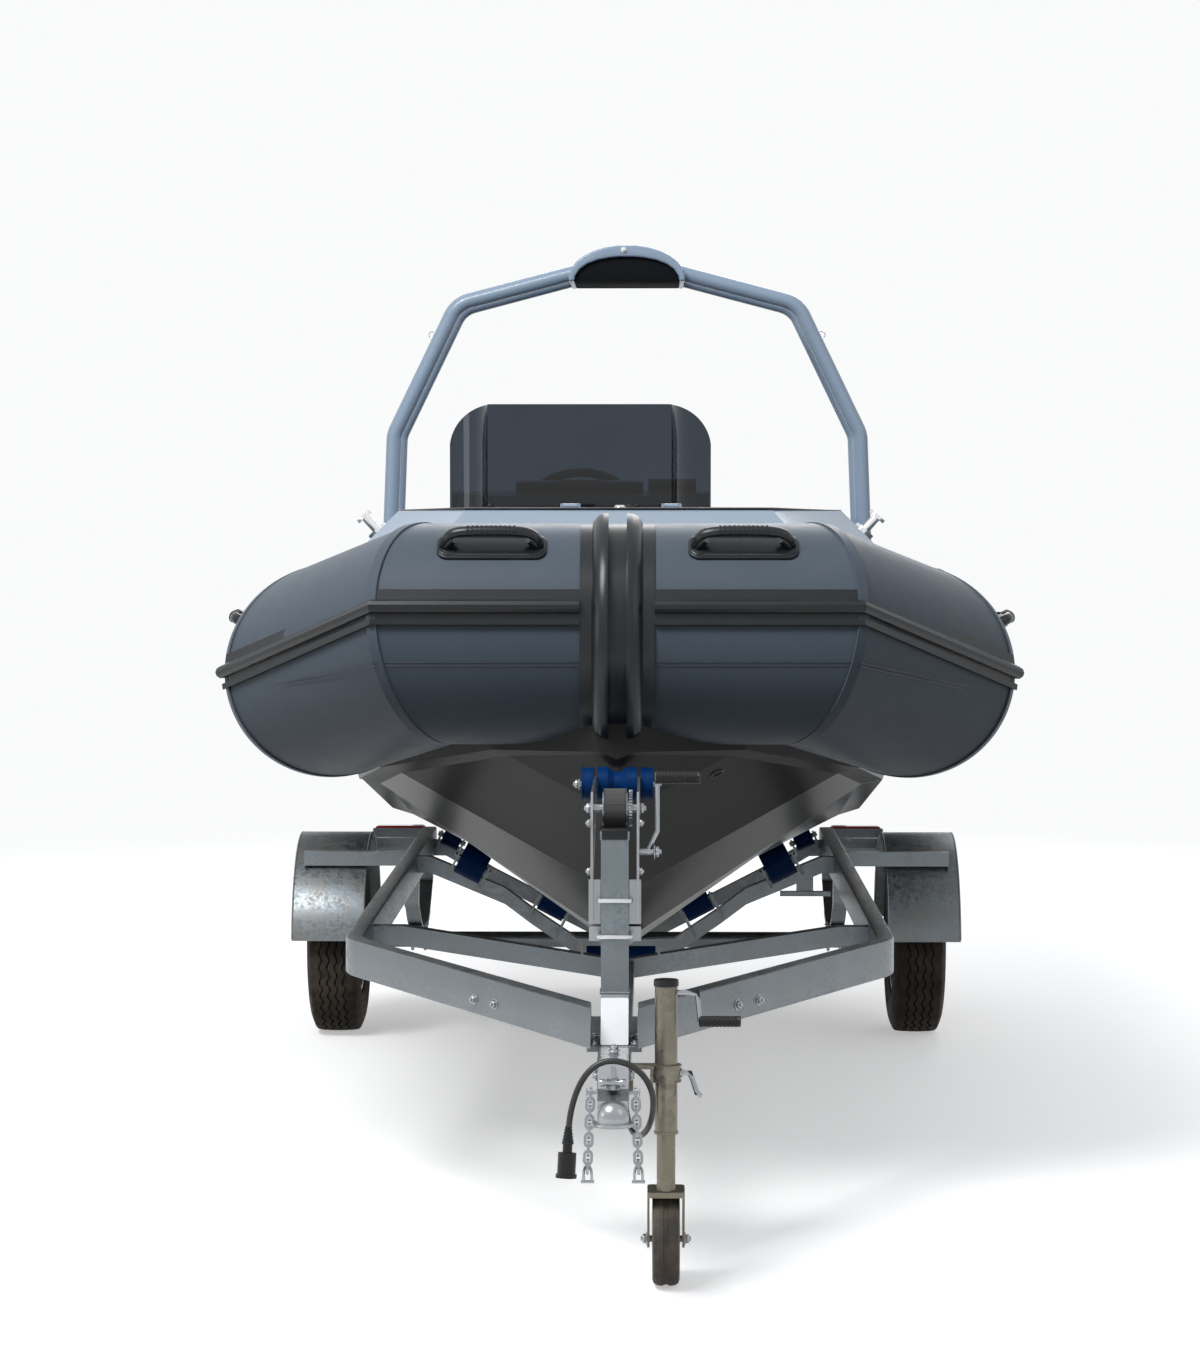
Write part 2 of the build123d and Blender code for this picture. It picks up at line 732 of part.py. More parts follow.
helm_hub_top = 40
with BuildPart() as steering_wheel:
    with BuildSketch(helm_plane.offset(helm_hub_top - 30)) as shaft:
        Circle(helm_shaft_radius)
    extrude(shaft.sketch, amount=32)
    with BuildSketch(helm_plane.offset(helm_hub_top + 2)) as boss:
        Circle(34)
    extrude(boss.sketch, amount=24)
    with BuildSketch(Plane(origin=helm_plane.origin, x_dir=(1, 0, 0), z_dir=helm_plane.y_dir * -1)) as rim:
        with Locations((helm_radius, helm_hub_top + 46)):
            RegularPolygon(13.5, 8)
    revolve(rim.sketch, axis=Axis(helm_plane.origin, helm_plane.z_dir), revolution_arc=360)
    for angle in (90, 210, 330):
        spoke_way = Vector(cos(radians(angle)), sin(radians(angle)), 0)
        root = helm_plane.from_local_coords(spoke_way * 18 + Vector(0, 0, helm_hub_top + 14))
        tip = helm_plane.from_local_coords(spoke_way * (helm_radius - 5) + Vector(0, 0, helm_hub_top + 46))
        bar(root, tip, 7)
finish(steering_wheel, "steering_wheel")

# Helm seat: moulded box with a cushion and a padded backrest
seat_floor = floor_z(seat_aft + seat_length) - 30
seat_top = floor_z(seat_aft) + seat_height
with BuildPart() as helm_seat:
    with BuildSketch(lengthwise(console_x - seat_width / 2)) as seat_side:
        Polygon(
            (seat_aft + 40, seat_floor), (seat_aft, seat_top), (seat_aft + seat_length, seat_top),
            (seat_aft + seat_length - 20, seat_floor),
            align=None,
        )
    extrude(seat_side.sketch, amount=seat_width)
    add(hull.part, mode=Mode.SUBTRACT)
finish(helm_seat, "helm_seat")

cushion_bottom = seat_top + seat_gap
back_foot = seat_aft + seat_length - 90
with BuildPart() as seat_cushions:
    with BuildSketch(lengthwise(console_x - seat_width / 2 + 10)) as pads:
        with BuildLine():
            Polyline(
                (seat_aft - 10, cushion_bottom), (seat_aft - 10, cushion_bottom + cushion_thickness),
                (back_foot, cushion_bottom + cushion_thickness), (back_foot + 35, cushion_bottom + 400),
                (back_foot + 95, cushion_bottom + 400), (back_foot + 75, cushion_bottom),
                (seat_aft - 10, cushion_bottom),
            )
        make_face()
    extrude(pads.sketch, amount=seat_width - 20)
    fillet(seat_cushions.edges().filter_by(Axis.X), radius=20)
finish(seat_cushions, "seat_cushions")

# -------------------------------------------------------------------- arch
def hoop(aft):
    """One hoop of the arch, its feet run down into the side decks."""
    knee_x, knee_z = hoop_knee
    shoulder_x, shoulder_z = hoop_shoulder
    with BuildPart() as bent_tube:
        with BuildLine() as centre_line:
            FilletPolyline(
                at(-hoop_foot_x, aft, 1440),
                at(-knee_x, aft, knee_z),
                at(-shoulder_x, aft, shoulder_z),
                at(0, aft, hoop_peak_z),
                at(shoulder_x, aft, shoulder_z),
                at(knee_x, aft, knee_z),
                at(hoop_foot_x, aft, 1440),
                radius=90,
            )
        with BuildSketch(Plane(origin=centre_line.line @ 0, z_dir=centre_line.line % 0)) as section:
            Circle(hoop_radius)
        sweep(section.sketch, path=centre_line.line)
        add(side_decks.part, mode=Mode.SUBTRACT)
        keep = bent_tube.part.solids().sort_by(SortBy.VOLUME)[-1]
    return keep


hoop_places = {"arch_hoop_front": hoop_aft, "arch_hoop_rear": hoop_aft + hoop_pitch}
hoops = {}
for name, aft in hoop_places.items():
    with BuildPart() as hoops[name]:
        add(hoop(aft))
    finish(hoops[name], name)

with BuildPart() as arch_hood:
    with BuildSketch(across(hoop_aft - hood_overhang)) as hood_front:
        with BuildLine():
            Polyline(
                (-hood_half, hood_bottom), (-hood_half, hood_top - 62), (-104, hood_top - 12), (-40, hood_top),
                (40, hood_top), (104, hood_top - 12), (hood_half, hood_top - 62), (hood_half, hood_bottom),
                (-hood_half, hood_bottom),
            )
        make_face()
    extrude(hood_front.sketch, amount=-(hoop_pitch + 2 * hood_overhang))
    fillet(arch_hood.edges().filter_by(Axis.Y).group_by(Axis.Z)[-1], radius=25)
    with BuildSketch(across(hoop_aft - hood_overhang)) as recess:
        Polygon(
            (-hood_half + 14, hood_bottom + 8), (-hood_half + 14, hood_top - 76), (-98, hood_top - 34),
            (98, hood_top - 34), (hood_half - 14, hood_top - 76), (hood_half - 14, hood_bottom + 8),
            align=None,
        )
    extrude(recess.sketch, amount=-14, mode=Mode.SUBTRACT)
    for piece in hoops.values():
        add(piece.part, mode=Mode.SUBTRACT)
finish(arch_hood, "arch_hood")

# Bollards on the side decks' skirts
bollard_aft = 1790
bollard_height = 52
skirt_share = (bollard_aft - deck_corner_aft) / (transom_aft - deck_corner_aft)
bollard_ridge = ridge_at(bollard_aft)
skirt_out = skirt_corner[0] + (skirt_stern[0] - skirt_corner[0]) * skirt_share
skirt_down = skirt_corner[1] + (skirt_stern[1] - skirt_corner[1]) * skirt_share
bollard_foot = bollard_ridge + Vector(skirt_out / 2, 0, -skirt_down / 2)
bollard_way = Vector(skirt_down, 0, skirt_out).normalized()
bollard_radius = 11
with BuildPart() as bollards:
    bar(bollard_foot - bollard_way * 8, bollard_foot + bollard_way * 8, 27)
    bar(bollard_foot, bollard_foot + bollard_way * bollard_height, bollard_radius)
    bar(bollard_foot + bollard_way * (bollard_height - 4), bollard_foot + bollard_way * (bollard_height + 5), 23)
    add(side_decks.part, mode=Mode.SUBTRACT)
    mirror(about=Plane.YZ)
finish(bollards, "bollards")

# ----------------------------------------------------------- trailer frame
rail_top = rail_bottom + rail_height
apex_heading = atan2(rail_half - rail_apex_x, rail_bend_aft - rail_apex_aft)
with BuildPart() as side_rails:
    with BuildSketch(level(rail_bottom)):
        with BuildLine() as rail_line:
            FilletPolyline(
                (rail_half - rail_width / 2, rail_end_aft),
                (rail_half - rail_width / 2, rail_bend_aft),
                (rail_apex_x - rail_width / 2, rail_apex_aft),
                radius=rail_bend_radius,
            )
        trace(rail_line.line, line_width=rail_width)
        with Locations((-500, 0)):
            Rectangle(1000, 12000, mode=Mode.SUBTRACT)
    extrude(amount=rail_height)
    mirror(about=Plane.YZ)
finish(side_rails, "side_rails")

gusset_thickness = 12
drawbar_top = rail_bottom - gusset_thickness
drawbar_bottom = drawbar_top - drawbar_height

# Lighting lead from its gland under the drawbar, over the coupler, to its plug: x, station, z
lead_radius = 6.5
gland_length = 14
lead_points = [
    (22, 262, drawbar_bottom - gland_length),
    (25, 254, 386),
    (33, 230, 356),
    (45, 188, 342),
    (60, 142, 350),
    (75, 103, 376),
    (84, 70, 414),
    (83, 44, 458),
    (67, 36, 492),
    (41, 33, 515),
    (12, 32, 526),
    (-20, 32, 525),
    (-48, 30, 508),
    (-69, 27, 478),
    (-83, 23, 440),
    (-91, 18, 398),
    (-93, 14, 356),
]
route = [at(*point) for point in lead_points]
gland_way = (route[0] - route[1]).normalized()

with BuildPart() as drawbar:
    with BuildSketch(level(drawbar_bottom)):
        with Locations((0, (drawbar_front_aft + front_member_aft - member_depth / 2) / 2)):
            Rectangle(drawbar_width, front_member_aft - member_depth / 2 - drawbar_front_aft)
    extrude(amount=drawbar_height)
    with BuildSketch(level(drawbar_top)):
        Polygon((-90, 495), (90, 495), (190, 700), (190, 760), (-190, 760), (-190, 700), align=None)
    extrude(amount=gusset_thickness)
    bar(route[0], route[0] + gland_way * (gland_length + 8), 11)
finish(drawbar, "drawbar")


rail_inside = rail_half - rail_width
member_level = 38  # level end of a cross member at the rail
front_member_level = 78


def cross_member(aft, line):
    """Cross member bent down to the middle: its top line from the middle to the rail."""
    upper = [(x, z) for x, z in line] + [(rail_inside, line[-1][1])]
    lower = [(x, z - member_height) for x, z in reversed(upper)]
    with BuildPart() as member:
        with BuildSketch(across(aft - member_depth / 2)) as face:
            with BuildLine() as edge:
                Polyline(*(upper[::-1] + [(-x, z) for x, z in upper[1:]]))
                Polyline(*(lower + [(-x, z) for x, z in lower[::-1][1:]]))
                Line((rail_inside, upper[-1][1]), (rail_inside, lower[0][1]))
                Line((-rail_inside, upper[-1][1]), (-rail_inside, lower[0][1]))
            make_face(edge.edges())
        extrude(face.sketch, amount=-member_depth)
    return member.part


# top line of each cross member from the middle out: x, z
front_line = [(0, 500), (rail_inside - front_member_level, 588)]
middle_line = [(0, 340), (150, 345), (290, 440), (370, 500), (rail_inside - member_level, 596)]
rear_line = [(0, 300), (120, 306), (440, 470), (rail_inside - member_level, 565)]
with BuildPart() as cross_members:
    for aft, line in ((front_member_aft, front_line), (middle_member_aft, middle_line), (rear_member_aft, rear_line)):
        add(cross_member(aft, line))
finish(cross_members, "cross_members")


def hull_bottom(aft, x):
    """Height of the hull's bottom panel at a station, this far from the middle."""
    for fore, rear in zip(hull_stations, hull_stations[1:]):
        if fore[0] <= aft <= rear[0]:
            share = (aft - fore[0]) / (rear[0] - fore[0])
            keel, chine_x, chine_z = (fore[i] + (rear[i] - fore[i]) * share for i in (1, 2, 3))
            return keel + (chine_z - keel) * x / chine_x


rear_roller_inset = 73  # rear roller from the inside of its rail
# Rollers under the hull: distance from the middle, station, radius, length
keel_roller_aft = front_member_aft + 95
roller_table = [
    (0, keel_roller_aft, keel_roller_radius, keel_roller_length),
    (195, middle_member_aft - 70, bilge_roller_radius - 8, bilge_roller_length),
    (442, middle_member_aft - 70, bilge_roller_radius, bilge_roller_length),
    (rail_inside - rear_roller_inset, rear_member_aft - 70, 32, 60),
]
roller_pins = []
roller_pin_radius = 8
roller_seat_gap = 0.6
with BuildPart() as rollers:
    for x, aft, radius, length in roller_table:
        rise_aft = (hull_bottom(aft + 1, x) - hull_bottom(aft - 1, x)) / 2
        rise_out = hull_bottom(aft, x + 1) - hull_bottom(aft, x) if x else 0
        downward = Vector(rise_out, rise_aft, -1).normalized()
        way = Vector(1, 0, rise_out).normalized()
        centre = at(x, aft, hull_bottom(aft, x)) + downward * (radius + roller_seat_gap)
        roller_pins.append((centre, way, length))
        for side in ((1, -1) if x else (1,)):
            spot = Vector(centre.X * side, centre.Y, centre.Z)
            heading = Vector(way.X, 0, way.Z * side)
            with BuildSketch(Plane(origin=spot - heading * length / 2, z_dir=heading)) as ring:
                Circle(radius)
                Circle(roller_pin_radius + seat_gap, mode=Mode.SUBTRACT)
            extrude(ring.sketch, amount=length)
finish(rollers, "hull_rollers")


def line_height(line, x):
    """Height of a cross member's top at a distance from the middle."""
    for (x0, z0), (x1, z1) in zip(line, line[1:]):
        if x0 <= x <= x1:
            return z0 + (z1 - z0) * (x - x0) / (x1 - x0)
    return line[-1][1]


bracket_members = [
    (front_line, front_member_aft),
    (middle_line, middle_member_aft),
    (middle_line, middle_member_aft),
    (rear_line, rear_member_aft),
]
bracket_plate_thickness = 6
with BuildPart() as roller_brackets:
    for (centre, way, length), (line, aft) in zip(roller_pins, bracket_members):
        reach = aft - (centre.Y - ball_y)  # from the pin to the middle of the cross member
        facing = 1 if reach > 0 else -1
        for end in (-1, 1):
            foot = centre + way * end * (length / 2 + 6 + bracket_plate_thickness / 2)
            member_top = (line_height(line, abs(foot.X)) - foot.Z) * way.X
            plane = Plane(origin=foot, x_dir=(0, facing, 0), z_dir=way * facing)
            with BuildSketch(plane) as plate:
                Polygon(
                    (-14, 12), (12, 12), (abs(reach) + 25, member_top + 14), (abs(reach) + 25, member_top - 30),
                    (abs(reach) - 25, member_top - 30), (-14, -14),
                    align=None,
                )
            extrude(plate.sketch, amount=bracket_plate_thickness / 2, both=True)
        bar(centre - way * (length / 2 + 18), centre + way * (length / 2 + 18), roller_pin_radius)
    add(cross_members.part, mode=Mode.SUBTRACT)
    mirror(about=Plane.YZ)
finish(roller_brackets, "roller_brackets")

# -------------------------------------------------- axle, springs, fenders
wheel_z = tyre_radius
hub_face = wheel_x - tyre_width / 2 + 30
spring_x = rail_half - rail_width / 2
spring_half = 350
spring_eye_z = 452
disc_inner = wheel_x + 10  # hub faces of the wheel's disc
disc_outer = wheel_x + 20
# start and end across the trailer, radius: drum, hub, stub through the wheel, dust cap
hub_steps = [
    (hub_face - 42, hub_face, 62),
    (hub_face, disc_inner - seat_gap, 50),
    (disc_inner - seat_gap, disc_outer + 4, stub_radius),
    (disc_outer + 4, disc_outer + 24, 26),
]
with BuildPart() as axle:
    bar(at(-hub_face + 40, axle_aft, wheel_z), at(hub_face - 40, axle_aft, wheel_z), axle_radius)
    for side in (-1, 1):
        for start, end, radius in hub_steps:
            bar(at(side * start, axle_aft, wheel_z), at(side * end, axle_aft, wheel_z), radius)
finish(axle, "axle")

with BuildPart() as springs:
    with BuildSketch(lengthwise(spring_x - 22)) as leaves:
        with BuildLine() as leaf_line:
            ThreePointArc(
                (axle_aft - spring_half, spring_eye_z),
                (axle_aft, wheel_z + axle_radius + 12),
                (axle_aft + spring_half, spring_eye_z),
            )
        trace(leaf_line.line, line_width=8)
        with BuildLine() as second_line:
            ThreePointArc(
                (axle_aft - spring_half * 0.62, spring_eye_z - 96),
                (axle_aft, wheel_z + axle_radius + 4),
                (axle_aft + spring_half * 0.62, spring_eye_z - 96),
            )
        trace(second_line.line, line_width=8)
        for end in (-1, 1):
            with Locations((axle_aft + end * spring_half, spring_eye_z)):
                Circle(20)
            with Locations((axle_aft + end * spring_half, (spring_eye_z + rail_bottom) / 2)):
                Rectangle(46, rail_bottom - spring_eye_z)
        with Locations((axle_aft, wheel_z + axle_radius + 5)):
            Rectangle(90, 26)
    extrude(leaves.sketch, amount=44)
    add(axle.part, mode=Mode.SUBTRACT)
    mirror(about=Plane.YZ)
finish(springs, "leaf_springs")

fender_angle = 84
fender_outer_radius = fender_inner + fender_sheet
with BuildPart() as fenders:
    with BuildSketch(lengthwise(fender_outer_x - fender_width)) as arch_band:
        with Locations((axle_aft, wheel_z)):
            Circle(fender_outer_radius)
            Circle(fender_inner, mode=Mode.SUBTRACT)
        with Locations((axle_aft, wheel_z + fender_outer_radius * cos(radians(fender_angle)) - 400)):
            Rectangle(800, 800, mode=Mode.SUBTRACT)
    extrude(arch_band.sketch, amount=fender_width)
    with BuildSketch(lengthwise(fender_outer_x - fender_sheet)) as outer_skirt:
        with Locations((axle_aft, wheel_z)):
            Circle(fender_outer_radius)
            Circle(fender_inner - 38, mode=Mode.SUBTRACT)
        with Locations((axle_aft, wheel_z + fender_outer_radius * cos(radians(fender_angle)) - 400)):
            Rectangle(800, 800, mode=Mode.SUBTRACT)
    extrude(outer_skirt.sketch, amount=fender_sheet)
    mirror(about=Plane.YZ)
finish(fenders, "fenders")

with BuildPart() as fender_supports:
    for reach in (-1, 1):
        stay_z = rail_bottom + 60
        stay_aft = axle_aft + reach * sqrt(fender_outer_radius ** 2 - (stay_z - wheel_z) ** 2)
        block(at(rail_half, stay_aft + reach * 8, stay_z - 22), at(fender_outer_x - 30, stay_aft + reach * 48, stay_z + 22))
        block(at(fender_outer_x - fender_width + 20, stay_aft - 20, stay_z - 22), at(fender_outer_x - 60, stay_aft + reach * 12, stay_z + 22))
    add(fenders.part, mode=Mode.SUBTRACT)
    with BuildSketch(lengthwise(0)) as wheel_well:
        with Locations((axle_aft, wheel_z)):
            Circle(fender_inner + 0.5)
    extrude(wheel_well.sketch, amount=1200, mode=Mode.SUBTRACT)
    mirror(about=Plane.YZ)
finish(fender_supports, "fender_supports")

# ------------------------------------------------------------------ wheels
half_tyre = tyre_width / 2
with BuildPart() as tyre_port:
    with BuildSketch(Plane(origin=at(wheel_x, axle_aft, wheel_z), x_dir=(1, 0, 0), z_dir=(0, -1, 0))) as tyre_section:
        with BuildLine():
            Line((-half_tyre + 22, bead_radius), (half_tyre - 22, bead_radius))
            ThreePointArc((half_tyre - 22, bead_radius), (half_tyre, (bead_radius + tyre_radius) / 2), (half_tyre - 18, tyre_radius - 10))
            ThreePointArc((half_tyre - 18, tyre_radius - 10), (half_tyre - 22, tyre_radius - 3), (half_tyre - 30, tyre_radius - 1))
            Line((half_tyre - 30, tyre_radius - 1), (0, tyre_radius))
            Line((0, tyre_radius), (-half_tyre + 30, tyre_radius - 1))
            ThreePointArc((-half_tyre + 30, tyre_radius - 1), (-half_tyre + 22, tyre_radius - 3), (-half_tyre + 18, tyre_radius - 10))
            ThreePointArc((-half_tyre + 18, tyre_radius - 10), (-half_tyre, (bead_radius + tyre_radius) / 2), (-half_tyre + 22, bead_radius))
        make_face()
        for groove_x in (-36, -12, 12, 36):
            with Locations((groove_x, tyre_radius)):
                Rectangle(5, 12, mode=Mode.SUBTRACT)
    revolve(tyre_section.sketch, axis=Axis(at(wheel_x, axle_aft, wheel_z), (1, 0, 0)), revolution_arc=360)
finish(tyre_port, "tyre_port")

rim_half = half_tyre - 14
with BuildPart() as rim_port:
    with BuildSketch(Plane(origin=at(wheel_x, axle_aft, wheel_z), x_dir=(1, 0, 0), z_dir=(0, -1, 0))) as rim_section:
        Polygon(
            (-rim_half, bead_radius - 1), (-rim_half, bead_radius - 14), (-rim_half + 16, bead_radius - 20),
            (8, bead_radius - 22), (12, 110), (22, 96), (22, 62), (10, 54), (10, stub_radius + shaft_clearance),
            (20, stub_radius + shaft_clearance), (20, 50), (30, 60), (30, 98), (20, 116), (16, bead_radius - 20),
            (rim_half - 10, bead_radius - 16), (rim_half, bead_radius - 12), (rim_half, bead_radius - 1),
            align=None,
        )
    revolve(rim_section.sketch, axis=Axis(at(wheel_x, axle_aft, wheel_z), (1, 0, 0)), revolution_arc=360)
finish(rim_port, "rim_port")

with BuildPart() as tyre_starboard:
    mirror(tyre_port.part, about=Plane.YZ)
finish(tyre_starboard, "tyre_starboard")
with BuildPart() as rim_starboard:
    mirror(rim_port.part, about=Plane.YZ)
finish(rim_starboard, "rim_starboard")

# ----------------------------------------------------------------- coupler
link_wire = 6
link_inner = (21, 9)
hole_radius = link_inner[1] / 2
hole_reach = link_inner[0] / 2 - hole_radius + sqrt(hole_radius ** 2 - (link_wire / 2) ** 2)
link_pitch = 2 * hole_reach - seat_gap
chain_links = 9
chain_x = 47
chain_aft = 96
chain_top_z = ball_z + 28
chain_pin_radius = 4
chain_pin_z = chain_top_z + link_inner[0] / 2 - chain_pin_radius - seat_gap
with BuildPart() as coupler:
    with BuildSketch(Plane(origin=at(0, 0, ball_z), x_dir=(1, 0, 0), z_dir=(0, -1, 0))) as shell:
        with BuildLine():
            Polyline(
                (0, shell_radius), (0, -flange_drop), (flange_radius, -flange_drop),
                (flange_radius, -flange_drop + 8), (shell_radius, -flange_drop + 8), (shell_radius, 0),
            )
            RadiusArc((shell_radius, 0), (0, shell_radius), -shell_radius)
        make_face()
    revolve(shell.sketch, axis=Axis(at(0, 0, ball_z), (0, 0, 1)), revolution_arc=360)
    with BuildSketch(lengthwise(-32)) as neck:
        Polygon(
            (4, ball_z + 4), (4, ball_z + 32), (60, ball_z + 48), (120, drawbar_top + 12), (300, drawbar_top + 12),
            (300, drawbar_top), (drawbar_front_aft, drawbar_top), (drawbar_front_aft, drawbar_bottom),
            (120, drawbar_bottom), (70, ball_z + 4),
            align=None,
        )
    extrude(neck.sketch, amount=64)
    # socket for the ball, open below
    with BuildSketch(Plane(origin=at(0, 0, ball_z), x_dir=(1, 0, 0), z_dir=(0, -1, 0))) as socket:
        with BuildLine():
            Polyline((0, socket_radius), (0, -flange_drop - 1), (socket_radius, -flange_drop - 1), (socket_radius, 0))
            RadiusArc((socket_radius, 0), (0, socket_radius), -socket_radius)
        make_face()
    revolve(socket.sketch, axis=Axis(at(0, 0, ball_z), (0, 0, 1)), revolution_arc=360, mode=Mode.SUBTRACT)
    # latch lever over the neck
    bar(at(-14, 62, ball_z + 48), at(14, 62, ball_z + 48), 9)
    with BuildSketch(lengthwise(-5)) as lever:
        Polygon(
            (22, ball_z + 52), (24, ball_z + 66), (60, ball_z + 66), (104, ball_z + 88), (108, ball_z + 78),
            (66, ball_z + 48),
            align=None,
        )
    extrude(lever.sketch, amount=10)
    # pins of the safety chains
    for side in (-1, 1):
        bar(at(side * 30, chain_aft, chain_pin_z), at(side * (chain_x + 8), chain_aft, chain_pin_z), chain_pin_radius)
        bar(at(side * (chain_x + 7), chain_aft, chain_pin_z), at(side * (chain_x + 10), chain_aft, chain_pin_z), 8)
finish(coupler, "coupler")

# Safety chains hung from the coupler's pins
def chain_link(centre, way, face):
    """One link lying along way, its flat side facing face."""
    with BuildSketch(Plane(origin=centre, x_dir=way, z_dir=face)) as outline:
        SlotOverall(link_inner[0] + 2 * link_wire, link_inner[1] + 2 * link_wire)
        SlotOverall(link_inner[0], link_inner[1], mode=Mode.SUBTRACT)
    extrude(outline.sketch, amount=link_wire / 2, both=True)


chain_way = Vector(0.04, -0.16, -0.98).normalized()
chain_cross = Vector(0, 1, 0).cross(chain_way).normalized()
chain_front = chain_way.cross(chain_cross)
with BuildPart() as safety_chains:
    top_link = at(chain_x, chain_aft, chain_top_z)
    for index in range(chain_links):
        face = chain_front if index % 2 else chain_cross
        chain_link(top_link + chain_way * link_pitch * index, chain_way, face)
    add(coupler.part, mode=Mode.SUBTRACT)
    mirror(about=Plane.YZ)
finish(safety_chains, "safety_chains")

# Lighting lead from a gland under the drawbar, over the coupler, to its plug
lead_radii = []
for before, here, after in zip(route, route[1:], route[2:]):
    run_in, run_out = here - before, after - here
    half_turn = radians(run_in.get_angle(run_out)) / 2
    lead_radii.append(0.45 * min(run_in.length, run_out.length) / tan(half_turn))
with BuildPart() as lead:
    with BuildLine() as lead_line:
        FilletPolyline(*route, radius=lead_radii)
    with BuildSketch(Plane(origin=lead_line.line @ 0, z_dir=lead_line.line % 0)) as lead_section:
        Circle(lead_radius)
    sweep(lead_section.sketch, path=lead_line.line)
finish(lead, "lead")

plug_way = (route[-1] - route[-2]).normalized()
with BuildPart() as lead_plug:
    bar(route[-1], route[-1] + plug_way * 18, 10)
    bar(route[-1] + plug_way * 18, route[-1] + plug_way * 70, 19)
    bar(route[-1] + plug_way * 62, route[-1] + plug_way * 70, 22)
finish(lead_plug, "lead_plug")

# ------------------------------------------------------------- winch post
post_knee_z = 616
post_foot_aft = post_aft - 60
base_thickness = 10
with BuildPart() as winch_post:
    block(at(-59, post_foot_aft - 50, drawbar_top), at(59, post_foot_aft + 90, drawbar_top + base_thickness))
    with BuildSketch(lengthwise(-post_size / 2)) as post_side:
        Polygon(
            (post_foot_aft - post_size / 2, drawbar_top + 1), (post_foot_aft + post_size / 2, drawbar_top + 1),
            (post_aft + post_size / 2, post_knee_z), (post_aft + post_size / 2, post_top),
            (post_aft - post_size / 2, post_top), (post_aft - post_size / 2, post_knee_z),
            align=None,
        )
    extrude(post_side.sketch, amount=post_size)
    block(
        at(-post_size / 2 - 2, post_aft - post_size / 2 - 2, post_top - 1),
        at(post_size / 2 + 2, post_aft + post_size / 2 + 2, post_top + 22),
    )
    chamfer(winch_post.edges().group_by(Axis.Z)[-1], 5)
finish(winch_post, "winch_post")

# Bow roller seated on the stem, on two arms bolted round the post
stem_low = hull_stations[1]
stem_high = hull_stations[0]
stem_way = Vector(0, stem_low[0] - stem_high[0], stem_low[1] - stem_high[1]).normalized()
stem_normal = Vector(0, stem_way.Z, -stem_way.Y)
bow_roller_radius = 39
bow_roller_z = 1026
contact_z = bow_roller_z - stem_normal.Z * bow_roller_radius
contact_aft = stem_high[0] + (stem_high[1] - contact_z) / (stem_high[1] - stem_low[1]) * (stem_low[0] - stem_high[0])
bow_roller_aft = contact_aft + stem_normal.Y * (bow_roller_radius + seat_gap)
bow_roller_z = contact_z + stem_normal.Z * (bow_roller_radius + seat_gap)
arm_x = 50
arm_thickness = 5
roller_bolt = 7
with BuildPart() as bow_roller:
    for x0, x1 in ((-arm_x + 4, arm_x - 4), (-arm_x - 33, -arm_x - 4), (arm_x + 4, arm_x + 33)):
        with BuildSketch(Plane(origin=at(x0, bow_roller_aft, bow_roller_z), z_dir=(1, 0, 0))) as roller_ring:
            Circle(bow_roller_radius if x0 > -arm_x and x1 < arm_x else bow_roller_radius - 2)
            Circle(roller_bolt + seat_gap, mode=Mode.SUBTRACT)
        extrude(roller_ring.sketch, amount=x1 - x0)
    with BuildSketch(Plane(origin=at(0, bow_roller_aft, bow_roller_z), x_dir=(1, 0, 0), z_dir=(0, -1, 0))) as waist:
        Polygon((-30, 45), (30, 45), (8, 28), (-8, 28), align=None)
    revolve(
        waist.sketch, axis=Axis(at(0, bow_roller_aft, bow_roller_z), (1, 0, 0)), revolution_arc=360, mode=Mode.SUBTRACT,
    )
finish(bow_roller, "bow_roller")

ubolt_radius = 4
ubolt_leg_x = post_size / 2 + ubolt_radius + seat_gap
winch_axle_aft = post_aft + 45
winch_axle_radius = 9
flange_thickness = 6
